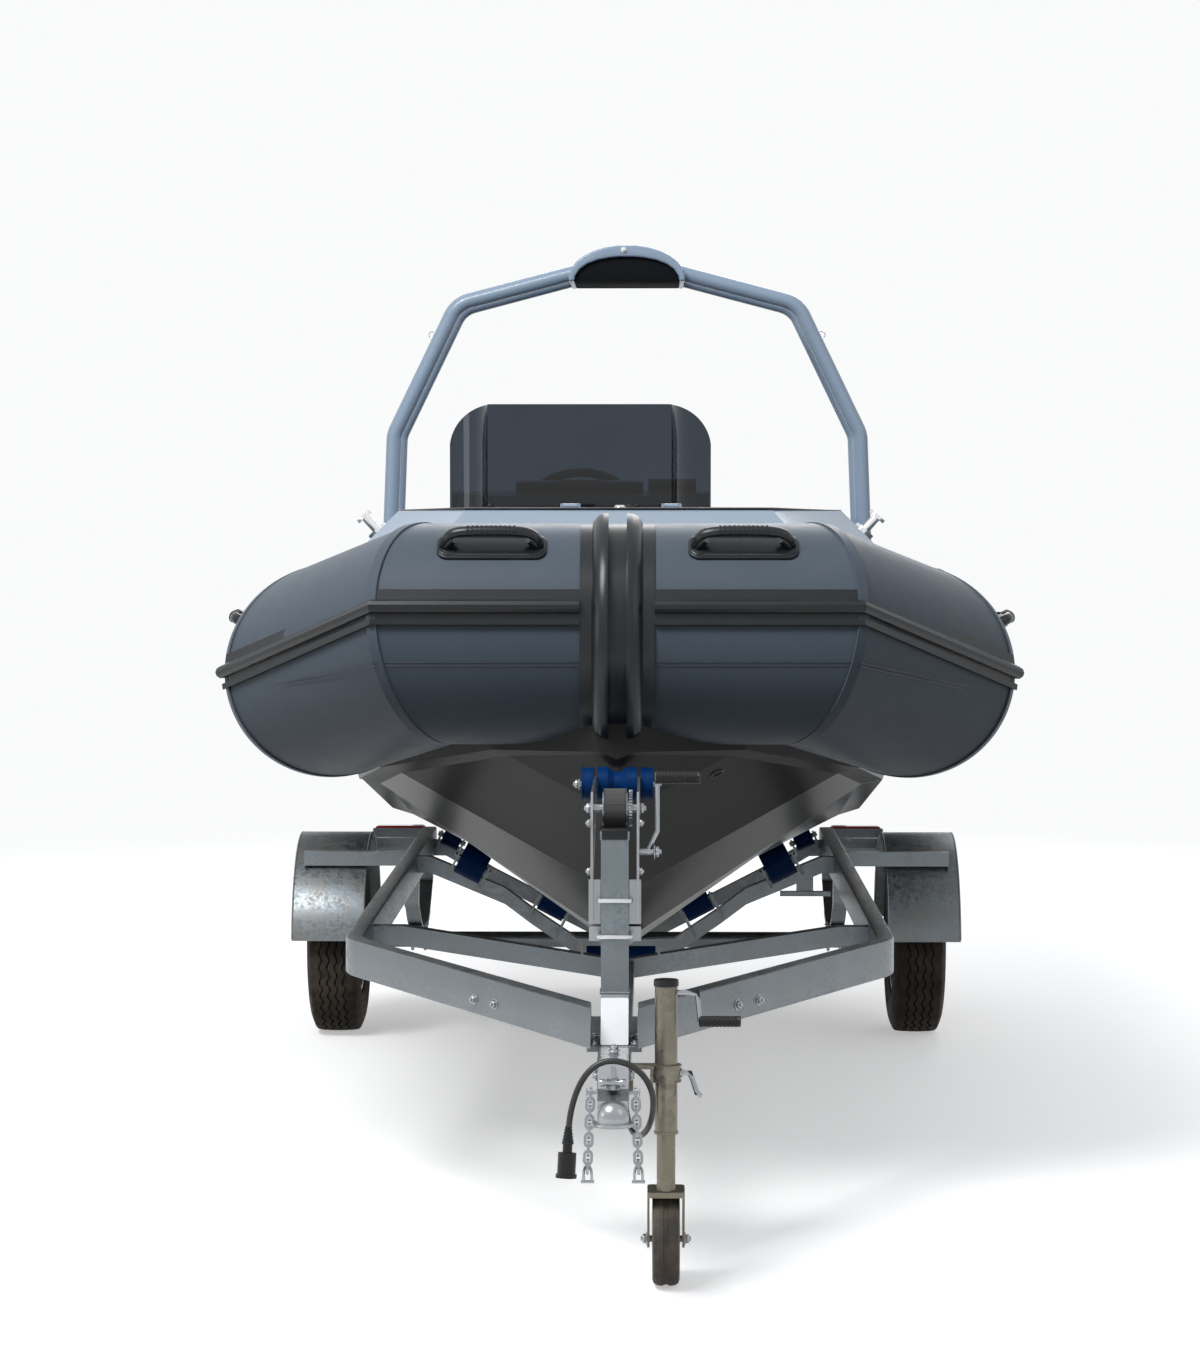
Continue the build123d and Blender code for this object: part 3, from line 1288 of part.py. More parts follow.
# height of each U-bolt, back face of the plate it is drawn up on, lower and upper edge of that plate
ubolt_table = [
    (817, post_aft - 2, 764, 861),
    (738, post_aft + post_size / 2 + seat_gap + flange_thickness, 722, 754),
]
with BuildPart() as winch_frame:
    for side in (-1, 1):
        with BuildSketch(lengthwise(side * arm_x - arm_thickness / 2)) as arm:
            Polygon(
                (post_aft - 30, 770), (post_aft + 34, 770), (post_aft + 60, 850), (bow_roller_aft - 10, bow_roller_z - 22),
                (bow_roller_aft + 14, bow_roller_z), (bow_roller_aft - 6, bow_roller_z + 20), (post_aft + 90, 1050),
                (post_aft + 10, 1050), (post_aft - 20, 960),
                align=None,
            )
        extrude(arm.sketch, amount=arm_thickness)
    bar(at(-arm_x - 38, bow_roller_aft, bow_roller_z), at(arm_x + 38, bow_roller_aft, bow_roller_z), roller_bolt)
    bar(at(-arm_x - 6, winch_axle_aft, winch_axle_z), at(arm_x + 6, winch_axle_aft, winch_axle_z), winch_axle_radius)
    for height, back, low, high in ubolt_table:
        plate_front, inner = back - flange_thickness, post_size / 2 + 1
        if back > post_aft + post_size / 2:
            block(at(-arm_x - 7, plate_front, low), at(arm_x + 7, back, high))
        else:
            for side in (-1, 1):
                block(at(side * inner, plate_front, low), at(side * (arm_x + 7), back, high))
        front = post_aft - post_size / 2 - ubolt_radius - seat_gap
        with BuildLine() as ubolt:
            FilletPolyline(
                at(-ubolt_leg_x, back + 12, height), at(-ubolt_leg_x, front, height),
                at(ubolt_leg_x, front, height), at(ubolt_leg_x, back + 12, height),
                radius=ubolt_radius + 1,
            )
        with BuildSketch(Plane(origin=ubolt.line @ 0, z_dir=ubolt.line % 0)) as rod:
            Circle(ubolt_radius)
        sweep(rod.sketch, path=ubolt.line)
finish(winch_frame, "winch_frame")

drum_half = 24
# start and end across the winch, radius: wound webbing, flanges, gear and its hub
drum_discs = [
    (-drum_half, drum_half, drum_radius + 10),
    (-drum_half - 3, -drum_half, 36),
    (drum_half, drum_half + 3, 36),
    (drum_half + 3, drum_half + 6, 16),
    (drum_half + 6, drum_half + 14, 35),
]
crank_z = 919
crank_x = 92
crank_aft = post_aft + 20
with BuildPart() as winch_gear:
    for x0, x1, radius in drum_discs:
        with BuildSketch(Plane(origin=at(x0, winch_axle_aft, winch_axle_z), z_dir=(1, 0, 0))) as disc:
            Circle(radius)
            Circle(winch_axle_radius + seat_gap, mode=Mode.SUBTRACT)
        extrude(disc.sketch, amount=x1 - x0)
    bar(at(arm_x + arm_thickness / 2, crank_aft, crank_z), at(arm_x + 34, crank_aft, crank_z), 7)
    bar(at(arm_x + 20, crank_aft, crank_z), at(crank_x, crank_aft, crank_z + 45), 5)
    bar(at(crank_x, crank_aft, crank_z + 42), at(crank_x, crank_aft, crank_z + 168), 5)
    bar(at(crank_x - 5, crank_aft, crank_z + 162), at(crank_x + 92, crank_aft, crank_z + 162), 13)
finish(winch_gear, "winch_gear")

# Bow eye on the stem and the winch strap hooked to it
eye_share = 0.93
eye_aft = stem_high[0] + (stem_low[0] - stem_high[0]) * eye_share
eye_z = stem_high[1] + (stem_low[1] - stem_high[1]) * eye_share
eye_hole_radius = 9
eye_out = 26
eye_centre = at(0, eye_aft, eye_z) + stem_normal * eye_out
eye_half = 7
with BuildPart() as bow_eye:
    with BuildSketch(Plane(origin=eye_centre + Vector(-eye_half, 0, 0), x_dir=stem_normal, z_dir=(1, 0, 0))) as lug:
        Circle(20)
        with Locations((-eye_out / 2 - 10, 0)):
            Rectangle(eye_out + 20, 40)
        Circle(eye_hole_radius, mode=Mode.SUBTRACT)
    extrude(lug.sketch, amount=2 * eye_half)
    add(hull.part, mode=Mode.SUBTRACT)
finish(bow_eye, "bow_eye")

strap_half = 20
strap_thickness = 3
strap_start = at(0, winch_axle_aft, winch_axle_z) + Vector(0, 0.05, -1).normalized() * (drum_radius + 10 + seat_gap + strap_thickness / 2)
strap_end = eye_centre + Vector(0, -1, 0.05).normalized() * 34
with BuildPart() as winch_strap:
    strap_way = (strap_end - strap_start).normalized()
    with BuildSketch(Plane(origin=strap_start, x_dir=(1, 0, 0), z_dir=strap_way)) as webbing:
        Rectangle(2 * strap_half, strap_thickness)
    extrude(webbing.sketch, amount=(strap_end - strap_start).length)
    for side in (-1, 1):
        with BuildSketch(Plane(origin=eye_centre + Vector(side * (eye_half + 1) - (4 if side < 0 else 0), 0, 0), x_dir=(0, 1, 0), z_dir=(1, 0, 0))) as cheek:
            Circle(12)
            with Locations((-20, 2)):
                Rectangle(40, 18)
        extrude(cheek.sketch, amount=4)
    bar(eye_centre - Vector(eye_half + 4, 0, 0), eye_centre + Vector(eye_half + 4, 0, 0), eye_hole_radius - 1)
finish(winch_strap, "winch_strap")

# ------------------------------------------------------------ jockey wheel
jockey_centre = (jockey_x, jockey_aft)
leg_bottom = 214
leg_top = 530
fork_crown = 12
swivel_pin = 26
with BuildPart() as jockey_tube:
    with BuildSketch(level(jockey_tube_bottom)) as outer_tube:
        with Locations(jockey_centre):
            Circle(jockey_tube_radius)
            Circle(jockey_leg_radius + shaft_clearance, mode=Mode.SUBTRACT)
    extrude(outer_tube.sketch, amount=jockey_top - 12 - jockey_tube_bottom)
    with BuildSketch(level(jockey_top - 12)) as head:
        with Locations(jockey_centre):
            Circle(jockey_tube_radius)
    extrude(head.sketch, amount=12)
    # clamp round the tube and its plate on the drawbar
    with BuildSketch(level(448)) as clamp:
        with Locations(jockey_centre):
            Circle(jockey_tube_radius + 7)
            Circle(jockey_leg_radius + shaft_clearance, mode=Mode.SUBTRACT)
    extrude(clamp.sketch, amount=36)
    block(at(drawbar_width / 2, jockey_aft - 18, 476), at(jockey_x - jockey_tube_radius + 1, jockey_aft + 18, 484))
    block(at(drawbar_width / 2, jockey_aft - 22, drawbar_bottom), at(drawbar_width / 2 + 6, jockey_aft + 22, 484))
    block(at(jockey_x - 34, jockey_aft - 18, 380), at(jockey_x - 27, jockey_aft - 12, 484))
finish(jockey_tube, "jockey_tube")

# Cap and crank of the lift, and the clamp's lever
with BuildPart() as jockey_handles:
    with BuildSketch(level(jockey_top)) as top_cap:
        with Locations(jockey_centre):
            Circle(jockey_tube_radius + 1)
    extrude(top_cap.sketch, amount=14)
    head_z = jockey_top - 14
    arm_end = jockey_x + 66
    bar(at(jockey_x + jockey_tube_radius, jockey_aft, head_z), at(arm_end, jockey_aft, head_z), 5)
    bar(at(arm_end, jockey_aft, head_z + 5), at(arm_end + 6, jockey_aft, head_z - 62), 5)
    bar(at(arm_end + 4, jockey_aft, head_z - 62), at(arm_end + 92, jockey_aft, head_z - 62), 11)
    bar(at(jockey_x + jockey_tube_radius + 7, jockey_aft, 466), at(jockey_x + 52, jockey_aft, 466), 5)
    bar(at(jockey_x + 50, jockey_aft, 469), at(jockey_x + 66, jockey_aft, 420), 5)
finish(jockey_handles, "jockey_handles")

with BuildPart() as jockey_leg:
    with BuildSketch(level(leg_bottom)) as leg_section:
        with Locations(jockey_centre):
            Circle(jockey_leg_radius)
    extrude(leg_section.sketch, amount=leg_top - leg_bottom)
    with BuildSketch(level(leg_bottom)) as pin_bore:
        with Locations(jockey_centre):
            Circle(9 + shaft_clearance)
    extrude(pin_bore.sketch, amount=swivel_pin + 4, mode=Mode.SUBTRACT)
finish(jockey_leg, "jockey_leg")

jockey_axle_aft = jockey_aft + jockey_trail
yoke_gap = jockey_wheel_width / 2 + 5
with BuildPart() as jockey_fork:
    crown_top = leg_bottom - 1
    with BuildSketch(level(crown_top - fork_crown)) as crown:
        with Locations((jockey_x, jockey_aft + jockey_trail / 2)):
            RectangleRounded(2 * yoke_gap + 10, jockey_trail + 50, 12)
    extrude(crown.sketch, amount=fork_crown)
    with BuildSketch(level(crown_top - 1)) as pin:
        with Locations(jockey_centre):
            Circle(9)
    extrude(pin.sketch, amount=swivel_pin)
    for side in (-1, 1):
        with BuildSketch(lengthwise(jockey_x + side * (yoke_gap + 2.5) - 2.5)) as cheek:
            Polygon(
                (jockey_aft - 20, crown_top - 2), (jockey_axle_aft + 22, crown_top - 2),
                (jockey_axle_aft + 16, jockey_wheel_radius - 16), (jockey_axle_aft - 16, jockey_wheel_radius - 16),
                align=None,
            )
        extrude(cheek.sketch, amount=5)
    bar(
        at(jockey_x - yoke_gap - 10, jockey_axle_aft, jockey_wheel_radius),
        at(jockey_x + yoke_gap + 10, jockey_axle_aft, jockey_wheel_radius), 7,
    )
finish(jockey_fork, "jockey_fork")

with BuildPart() as jockey_wheel:
    half = jockey_wheel_width / 2
    with BuildSketch(Plane(origin=at(jockey_x, jockey_axle_aft, jockey_wheel_radius), x_dir=(1, 0, 0), z_dir=(0, -1, 0))) as wheel_section:
        Polygon(
            (-half, 7 + shaft_clearance), (-half, 24), (-half + 14, 30), (-half + 14, 62), (-half + 2, 70),
            (-half + 2, 88), (-half + 10, jockey_wheel_radius - 2), (-half + 16, jockey_wheel_radius),
            (half - 16, jockey_wheel_radius), (half - 10, jockey_wheel_radius - 2), (half - 2, 88),
            (half - 2, 70), (half - 14, 62), (half - 14, 30), (half, 24), (half, 7 + shaft_clearance),
            align=None,
        )
    revolve(wheel_section.sketch, axis=Axis(at(jockey_x, jockey_axle_aft, jockey_wheel_radius), (1, 0, 0)), revolution_arc=360)
finish(jockey_wheel, "jockey_wheel")

# ---------------------------------------------------------------- lamps
lamp_x = 760
with BuildPart() as lamp_brackets:
    block(at(rail_half - rail_width, rail_end_aft, rail_bottom + 10), at(lamp_x + 90, rail_end_aft + 6, rail_bottom + 84))
    mirror(about=Plane.YZ)
    # slotted T-bar under the middle cross member
    block(at(524, middle_member_aft - 3, 488), at(576, middle_member_aft + 3, 540))
    block(at(474, middle_member_aft - 12, 474), at(629, middle_member_aft + 12, 489))
    add(cross_members.part, mode=Mode.SUBTRACT)
finish(lamp_brackets, "lamp_brackets")

with BuildPart() as lamps:
    with BuildSketch(across(rail_end_aft + 6)) as lens:
        with Locations((lamp_x, rail_bottom + 47)):
            RectangleRounded(170, 90, 14)
    extrude(lens.sketch, amount=-42)
    mirror(about=Plane.YZ)
finish(lamps, "lamps")

# ---------------------------------------------------------- outboard motor
tilt_centre = at(0, tilt_aft, tilt_z)
tilt_rad = radians(motor_tilt)
leg_plane = Plane(origin=tilt_centre, x_dir=(1, 0, 0), z_dir=(0, -sin(tilt_rad), cos(tilt_rad)))
motor_side = Plane(origin=tilt_centre, x_dir=leg_plane.y_dir, z_dir=(1, 0, 0))  # x back, y up the leg


def motor_slab(points, half_width):
    """Plate of the motor, drawn from the side: back and up the leg."""
    with BuildSketch(motor_side.offset(-half_width)) as slab:
        Polygon(*points, align=None)
    extrude(slab.sketch, amount=2 * half_width)


bracket_x = 112
bracket_plate = 16
with BuildPart() as motor_bracket:
    for side in (-1, 1):
        with BuildSketch(lengthwise(side * bracket_x - bracket_plate / 2)) as clamp_plate:
            Polygon(
                (transom_aft, transom_top - 250), (transom_aft + 26, transom_top - 250), (transom_aft + 66, transom_top + 30),
                (tilt_aft + 22, tilt_z + 22), (tilt_aft - 18, tilt_z + 26), (transom_aft - 60, transom_top + 32),
                (transom_aft - transom_thickness - 26, transom_top + 28), (transom_aft - transom_thickness - 26, transom_top - 96),
                (transom_aft - transom_thickness, transom_top - 96), (transom_aft - transom_thickness, transom_top),
                (transom_aft, transom_top),
                align=None,
            )
        extrude(clamp_plate.sketch, amount=bracket_plate)
    bar(at(-bracket_x - 20, tilt_aft, tilt_z), at(bracket_x + 20, tilt_aft, tilt_z), tilt_axis_radius)
    block(at(-bracket_x, transom_aft, transom_top - 250), at(bracket_x, transom_aft + 10, transom_top - 215))
    add(hull.part, mode=Mode.SUBTRACT)
finish(motor_bracket, "motor_bracket")

swivel_half = bracket_x - bracket_plate / 2 - 6
steer_radius = 18
steer_axis_point = tilt_centre + leg_plane.y_dir * motor_steer_back
swivel_bottom = -300
with BuildPart() as motor_swivel:
    with BuildSketch(leg_plane.offset(-46)) as swivel_top:
        Rectangle(2 * swivel_half, 60)
        with Locations((0, motor_steer_back)):
            Circle(40)
        with Locations((0, motor_steer_back / 2)):
            Rectangle(80, motor_steer_back)
    extrude(swivel_top.sketch, amount=74)
    with BuildSketch(leg_plane.offset(swivel_bottom)) as swivel_tube:
        with Locations((0, motor_steer_back)):
            Circle(34)
    extrude(swivel_tube.sketch, amount=-swivel_bottom)
    with BuildSketch(leg_plane.offset(swivel_bottom - 5)) as steer_bore:
        with Locations((0, motor_steer_back)):
            Circle(steer_radius + shaft_clearance)
    extrude(steer_bore.sketch, amount=-swivel_bottom + 60, mode=Mode.SUBTRACT)
    with BuildSketch(Plane(origin=at(-200, tilt_aft, tilt_z), z_dir=(1, 0, 0))) as tilt_bore:
        Circle(tilt_axis_radius + shaft_clearance)
    extrude(tilt_bore.sketch, amount=400, mode=Mode.SUBTRACT)
finish(motor_swivel, "motor_swivel")

leg_front = motor_steer_back + 44
with BuildPart() as motor_leg:
    # steering shaft with the yokes over and under the swivel
    with BuildSketch(leg_plane.offset(swivel_bottom - 30)) as steer_shaft:
        with Locations((0, motor_steer_back)):
            Circle(steer_radius)
    extrude(steer_shaft.sketch, amount=30 - swivel_bottom + 60)
    with BuildSketch(leg_plane.offset(30)) as upper_yoke:
        with Locations((0, motor_steer_back + 60)):
            RectangleRounded(120, 190, 30)
    extrude(upper_yoke.sketch, amount=30)
    with BuildSketch(leg_plane.offset(swivel_bottom - 32)) as lower_yoke:
        with Locations((0, motor_steer_back + 40)):
            RectangleRounded(90, 130, 30)
    extrude(lower_yoke.sketch, amount=30)
    # midsection, cavitation plate, gearcase and skeg
    for bottom, top, back, half_length, half_width in (
        (-560, 60, leg_front + 80, 78, 42),
        (-560, -548, leg_front + 110, 170, 105),
        (-700, -548, leg_front + 66, 60, 22),
    ):
        with BuildSketch(leg_plane.offset(bottom)) as housing:
            with Locations((0, back)):
                SlotOverall(2 * half_length, 2 * half_width, rotation=90)
        extrude(housing.sketch, amount=top - bottom)
    with BuildSketch(Plane(origin=leg_plane.from_local_coords((0, leg_front - 45, -700)), x_dir=(1, 0, 0), z_dir=leg_plane.y_dir)) as case_start:
        Circle(20)
    with BuildSketch(Plane(origin=leg_plane.from_local_coords((0, leg_front + 25, -700)), x_dir=(1, 0, 0), z_dir=leg_plane.y_dir)) as case_full:
        Circle(46)
    with BuildSketch(Plane(origin=leg_plane.from_local_coords((0, leg_front + 160, -700)), x_dir=(1, 0, 0), z_dir=leg_plane.y_dir)) as case_end:
        Circle(44)
    loft([case_start.sketch.face(), case_full.sketch.face(), case_end.sketch.face()], ruled=True)
    motor_slab([
        (leg_front + 10, -735), (skeg_tip[1] - 90, -skeg_tip[0]), (skeg_tip[1], -skeg_tip[0]), (leg_front + 140, -735),
    ], 7)
    prop_shaft_origin = leg_plane.from_local_coords((0, leg_front + 160, -700))
    prop_shaft_end = leg_plane.from_local_coords((0, leg_front + 238, -700))
    bar(prop_shaft_origin, prop_shaft_end, 10)
finish(motor_leg, "motor_leg")

cowl_sections = [  # up the leg, back of the middle, half length, half width
    (61, motor_steer_back + 95, 175, 120),
    (130, motor_steer_back + 95, 225, 165),
    (360, motor_steer_back + 85, 235, 170),
    (470, motor_steer_back + 70, 190, 135),
]
with BuildPart() as motor_cowl:
    for height, back, half_length, half_width in cowl_sections:
        with BuildSketch(leg_plane.offset(height)):
            with Locations((0, back)):
                RectangleRounded(2 * half_width, 2 * half_length, min(half_width * 0.55, 80))
    loft(ruled=True)
finish(motor_cowl, "motor_cowl")

with BuildPart() as propeller:
    hub_start = leg_plane.from_local_coords((0, leg_front + 162, -700))
    hub_end = leg_plane.from_local_coords((0, leg_front + 236, -700))
    with BuildSketch(Plane(origin=hub_start, x_dir=(1, 0, 0), z_dir=leg_plane.y_dir)) as prop_hub:
        Circle(40)
        Circle(10 + shaft_clearance, mode=Mode.SUBTRACT)
    extrude(prop_hub.sketch, amount=74)
    for blade in range(3):
        angle = radians(90 + 120 * blade)
        radial = Vector(cos(angle), 0, sin(angle))
        lean = leg_plane.from_local_coords((radial.X, 0, radial.Z)) - leg_plane.origin
        blade_normal = (leg_plane.y_dir * 0.86 + lean.cross(leg_plane.y_dir) * 0.5).normalized()
        with BuildSketch(Plane(origin=hub_start + leg_plane.y_dir * 37, x_dir=lean, z_dir=blade_normal)) as outline:
            with Locations((80, 0)):
                Ellipse(53, 42)
            with Locations((45, 0)):
                Rectangle(50, 40)
            Circle(30, mode=Mode.SUBTRACT)
        extrude(outline.sketch, amount=3, both=True)
finish(propeller, "propeller")
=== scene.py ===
"""Finish of the rigid inflatable boat on its road trailer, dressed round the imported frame. Metres."""
import math

import bpy
from mathutils import Matrix, Vector


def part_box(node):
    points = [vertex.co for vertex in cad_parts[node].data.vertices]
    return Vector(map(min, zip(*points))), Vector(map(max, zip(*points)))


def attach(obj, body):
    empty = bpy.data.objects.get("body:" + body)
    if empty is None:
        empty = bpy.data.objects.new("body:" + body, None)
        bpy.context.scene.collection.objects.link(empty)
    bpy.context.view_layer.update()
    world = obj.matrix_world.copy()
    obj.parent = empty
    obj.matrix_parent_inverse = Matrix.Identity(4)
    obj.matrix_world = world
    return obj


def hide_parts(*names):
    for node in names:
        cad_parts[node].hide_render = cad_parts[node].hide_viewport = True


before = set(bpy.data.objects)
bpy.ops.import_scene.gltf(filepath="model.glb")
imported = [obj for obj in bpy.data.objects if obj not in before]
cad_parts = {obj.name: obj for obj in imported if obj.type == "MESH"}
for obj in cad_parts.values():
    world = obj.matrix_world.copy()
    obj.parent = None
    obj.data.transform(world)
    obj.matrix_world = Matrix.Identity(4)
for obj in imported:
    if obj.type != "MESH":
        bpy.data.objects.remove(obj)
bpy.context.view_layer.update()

bpy.ops.object.select_all(action="DESELECT")

# ---------------------------------------------------------------------- places
# Places are (to port, aft of the towing ball, above the ground)
BOAT = "boat_on_trailer"
NOSE_RADIUS = 0.0413  # flange of the coupler, the foremost point
BALL_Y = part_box("coupler")[0][1] + NOSE_RADIUS
COLLAR_R = 0.262
BOW_AFT = 1.140  # axis of the collar's run across the bow
BOW_Z = 1.368
MITRE_1 = (0.434, BOW_AFT, BOW_Z)  # where the collar's axis bends at the bow's corner
MITRE_2 = (0.705, 1.495, 1.265)  # and again into the side tube
STERN = (0.873, 5.200, 1.200)  # where the side tube ends in its cone
WHEEL_X = 0.915
AXLE_AFT = 3.950
TYRE_R = 0.290
DRUM = (0.470, 1.012)  # winch drum's axis: aft, height
BOW_ROLLER = (0.9737, 1.0257)
POST_CLAMPS = ((0.817, 0.4230), (0.738, 0.4613))  # height, aft of the U-bolts' nuts
JOCKEY = (0.111, 0.250)  # jockey tube's axis
JOCKEY_AXLE = (0.295, 0.100)  # its wheel's axle: aft, height

PORT = Vector((1, 0, 0))
AFT = Vector((0, 1, 0))
UP = Vector((0, 0, 1))


def at(x, aft, z):
    """Point of the frame from its place."""
    return Vector((x, BALL_Y + aft, z))


# --------------------------------------------------------------- shader groups
def new_group(name, inputs, outputs):
    """Empty node group of value sockets: (name, default) inputs and named outputs."""
    group = bpy.data.node_groups.new(name, "ShaderNodeTree")
    for label, value in inputs:
        socket = group.interface.new_socket(name=label, in_out="INPUT", socket_type="NodeSocketFloat")
        socket.default_value = value
    for label in outputs:
        group.interface.new_socket(name=label, in_out="OUTPUT", socket_type="NodeSocketFloat")
    start = group.nodes.new("NodeGroupInput")
    end = group.nodes.new("NodeGroupOutput")
    return group, start, end


def add_node(tree, kind, **settings):
    """New node with its properties and unlinked inputs set."""
    node = tree.nodes.new(kind)
    for key, value in settings.items():
        if hasattr(node, key):
            setattr(node, key, value)
        else:
            node.inputs[key].default_value = value
    return node


def math_node(tree, operation, a, b=None):
    """Arithmetic on two sockets or numbers."""
    node = tree.nodes.new("ShaderNodeMath")
    node.operation = operation
    for index, value in enumerate((a, b)):
        if value is None:
            continue
        if isinstance(value, (int, float)):
            node.inputs[index].default_value = value
        else:
            tree.links.new(value, node.inputs[index])
    return node.outputs[0]


def ramp(tree, source, low, high):
    """Smooth 0 to 1 step of a value between low and high."""
    node = tree.nodes.new("ShaderNodeMapRange")
    node.interpolation_type = "SMOOTHSTEP"
    node.inputs["From Min"].default_value = low
    node.inputs["From Max"].default_value = high
    tree.links.new(source, node.inputs["Value"])
    return node.outputs["Result"]


def make_mottle():
    """Slow cloudy variation and fine grain of a surface, both 0 to 1."""
    group, start, end = new_group(
        "mottle", [("Cloud Scale", 3.0), ("Grain Scale", 400.0)], ["Cloud", "Grain"],
    )
    place = add_node(group, "ShaderNodeTexCoord")
    for label, scale in (("Cloud", "Cloud Scale"), ("Grain", "Grain Scale")):
        noise = add_node(group, "ShaderNodeTexNoise", Detail=4.0, Roughness=0.6)
        group.links.new(place.outputs["Object"], noise.inputs["Vector"])
        group.links.new(start.outputs[scale], noise.inputs["Scale"])
        group.links.new(noise.outputs["Fac"], end.inputs[label])
    return group


def make_dust_and_sheen():
    """Road dust, and the collar's painted sheen: a mask that grows towards the ground and on upward faces."""
    group, start, end = new_group("road_dust_and_sheen", [("Height", 0.7), ("Amount", 0.6)], ["Mask"])
    place = add_node(group, "ShaderNodeTexCoord")
    split = add_node(group, "ShaderNodeSeparateXYZ")
    group.links.new(place.outputs["Object"], split.inputs[0])
    rise = math_node(group, "DIVIDE", split.outputs["Z"], start.outputs["Height"])
    low = math_node(group, "SUBTRACT", 1.0, rise)
    facing = add_node(group, "ShaderNodeSeparateXYZ")
    group.links.new(add_node(group, "ShaderNodeNewGeometry").outputs["Normal"], facing.inputs[0])
    # upward faces: settled dust, and on the collar a painted sheen of the sky
    up = math_node(group, "MULTIPLY", ramp(group, facing.outputs["Z"], 0.1, 0.95), 0.45)
    noise = add_node(group, "ShaderNodeTexNoise", Scale=14.0, Detail=6.0, Roughness=0.65)
    group.links.new(place.outputs["Object"], noise.inputs["Vector"])
    rough = ramp(group, noise.outputs["Fac"], 0.30, 0.72)
    total = math_node(group, "ADD", ramp(group, low, 0.0, 1.0), up)
    mask = math_node(group, "MULTIPLY", math_node(group, "MULTIPLY", total, rough), start.outputs["Amount"])
    clamp = add_node(group, "ShaderNodeClamp")
    group.links.new(mask, clamp.inputs["Value"])
    group.links.new(clamp.outputs[0], end.inputs["Mask"])
    return group


def make_spangle():
    """Crystal facets of a hot-dip zinc coat: a value per facet and its edge."""
    group, start, end = new_group("zinc_spangle", [("Scale", 90.0)], ["Facet", "Haze"])
    place = add_node(group, "ShaderNodeTexCoord")
    cells = add_node(group, "ShaderNodeTexVoronoi")
    group.links.new(place.outputs["Object"], cells.inputs["Vector"])
    group.links.new(start.outputs["Scale"], cells.inputs["Scale"])
    tint = add_node(group, "ShaderNodeSeparateColor")
    group.links.new(cells.outputs["Color"], tint.inputs[0])
    group.links.new(tint.outputs[0], end.inputs["Facet"])
    haze = add_node(group, "ShaderNodeTexNoise", Scale=7.0, Detail=5.0)
    group.links.new(place.outputs["Object"], haze.inputs["Vector"])
    group.links.new(ramp(group, haze.outputs["Fac"], 0.3, 0.7), end.inputs["Haze"])
    return group


def make_weave():
    """Plain weave of a coated cloth or webbing as a height, 0 to 1."""
    group, start, end = new_group("plain_weave", [("Threads", 900.0)], ["Height"])
    place = add_node(group, "ShaderNodeTexCoord")
    split = add_node(group, "ShaderNodeSeparateXYZ")
    group.links.new(place.outputs["Object"], split.inputs[0])
    waves = []
    for axis in ("X", "Y", "Z"):
        phase = math_node(group, "MULTIPLY", split.outputs[axis], start.outputs["Threads"])
        waves.append(math_node(group, "SINE", phase))
    both = math_node(group, "MULTIPLY", math_node(group, "ADD", waves[0], waves[1]), 0.25)
    third = math_node(group, "MULTIPLY", waves[2], 0.25)
    height = math_node(group, "ADD", math_node(group, "ADD", both, third), 0.5)
    group.links.new(height, end.inputs["Height"])
    return group


def make_nonskid():
    """Fine raised dots on level treads, with the mask of those treads."""
    group, start, end = new_group("nonskid", [("Scale", 260.0)], ["Height", "Level"])
    place = add_node(group, "ShaderNodeTexCoord")
    cells = add_node(group, "ShaderNodeTexVoronoi")
    group.links.new(place.outputs["Object"], cells.inputs["Vector"])
    group.links.new(start.outputs["Scale"], cells.inputs["Scale"])
    facing = add_node(group, "ShaderNodeSeparateXYZ")
    group.links.new(add_node(group, "ShaderNodeNewGeometry").outputs["Normal"], facing.inputs[0])
    level = ramp(group, facing.outputs["Z"], 0.96, 0.995)
    group.links.new(level, end.inputs["Level"])
    dot = math_node(group, "SUBTRACT", 1.0, cells.outputs["Distance"])
    group.links.new(math_node(group, "MULTIPLY", dot, level), end.inputs["Height"])
    return group


MOTTLE = make_mottle()
DUST_AND_SHEEN = make_dust_and_sheen()
SPANGLE = make_spangle()
WEAVE = make_weave()
NONSKID = make_nonskid()


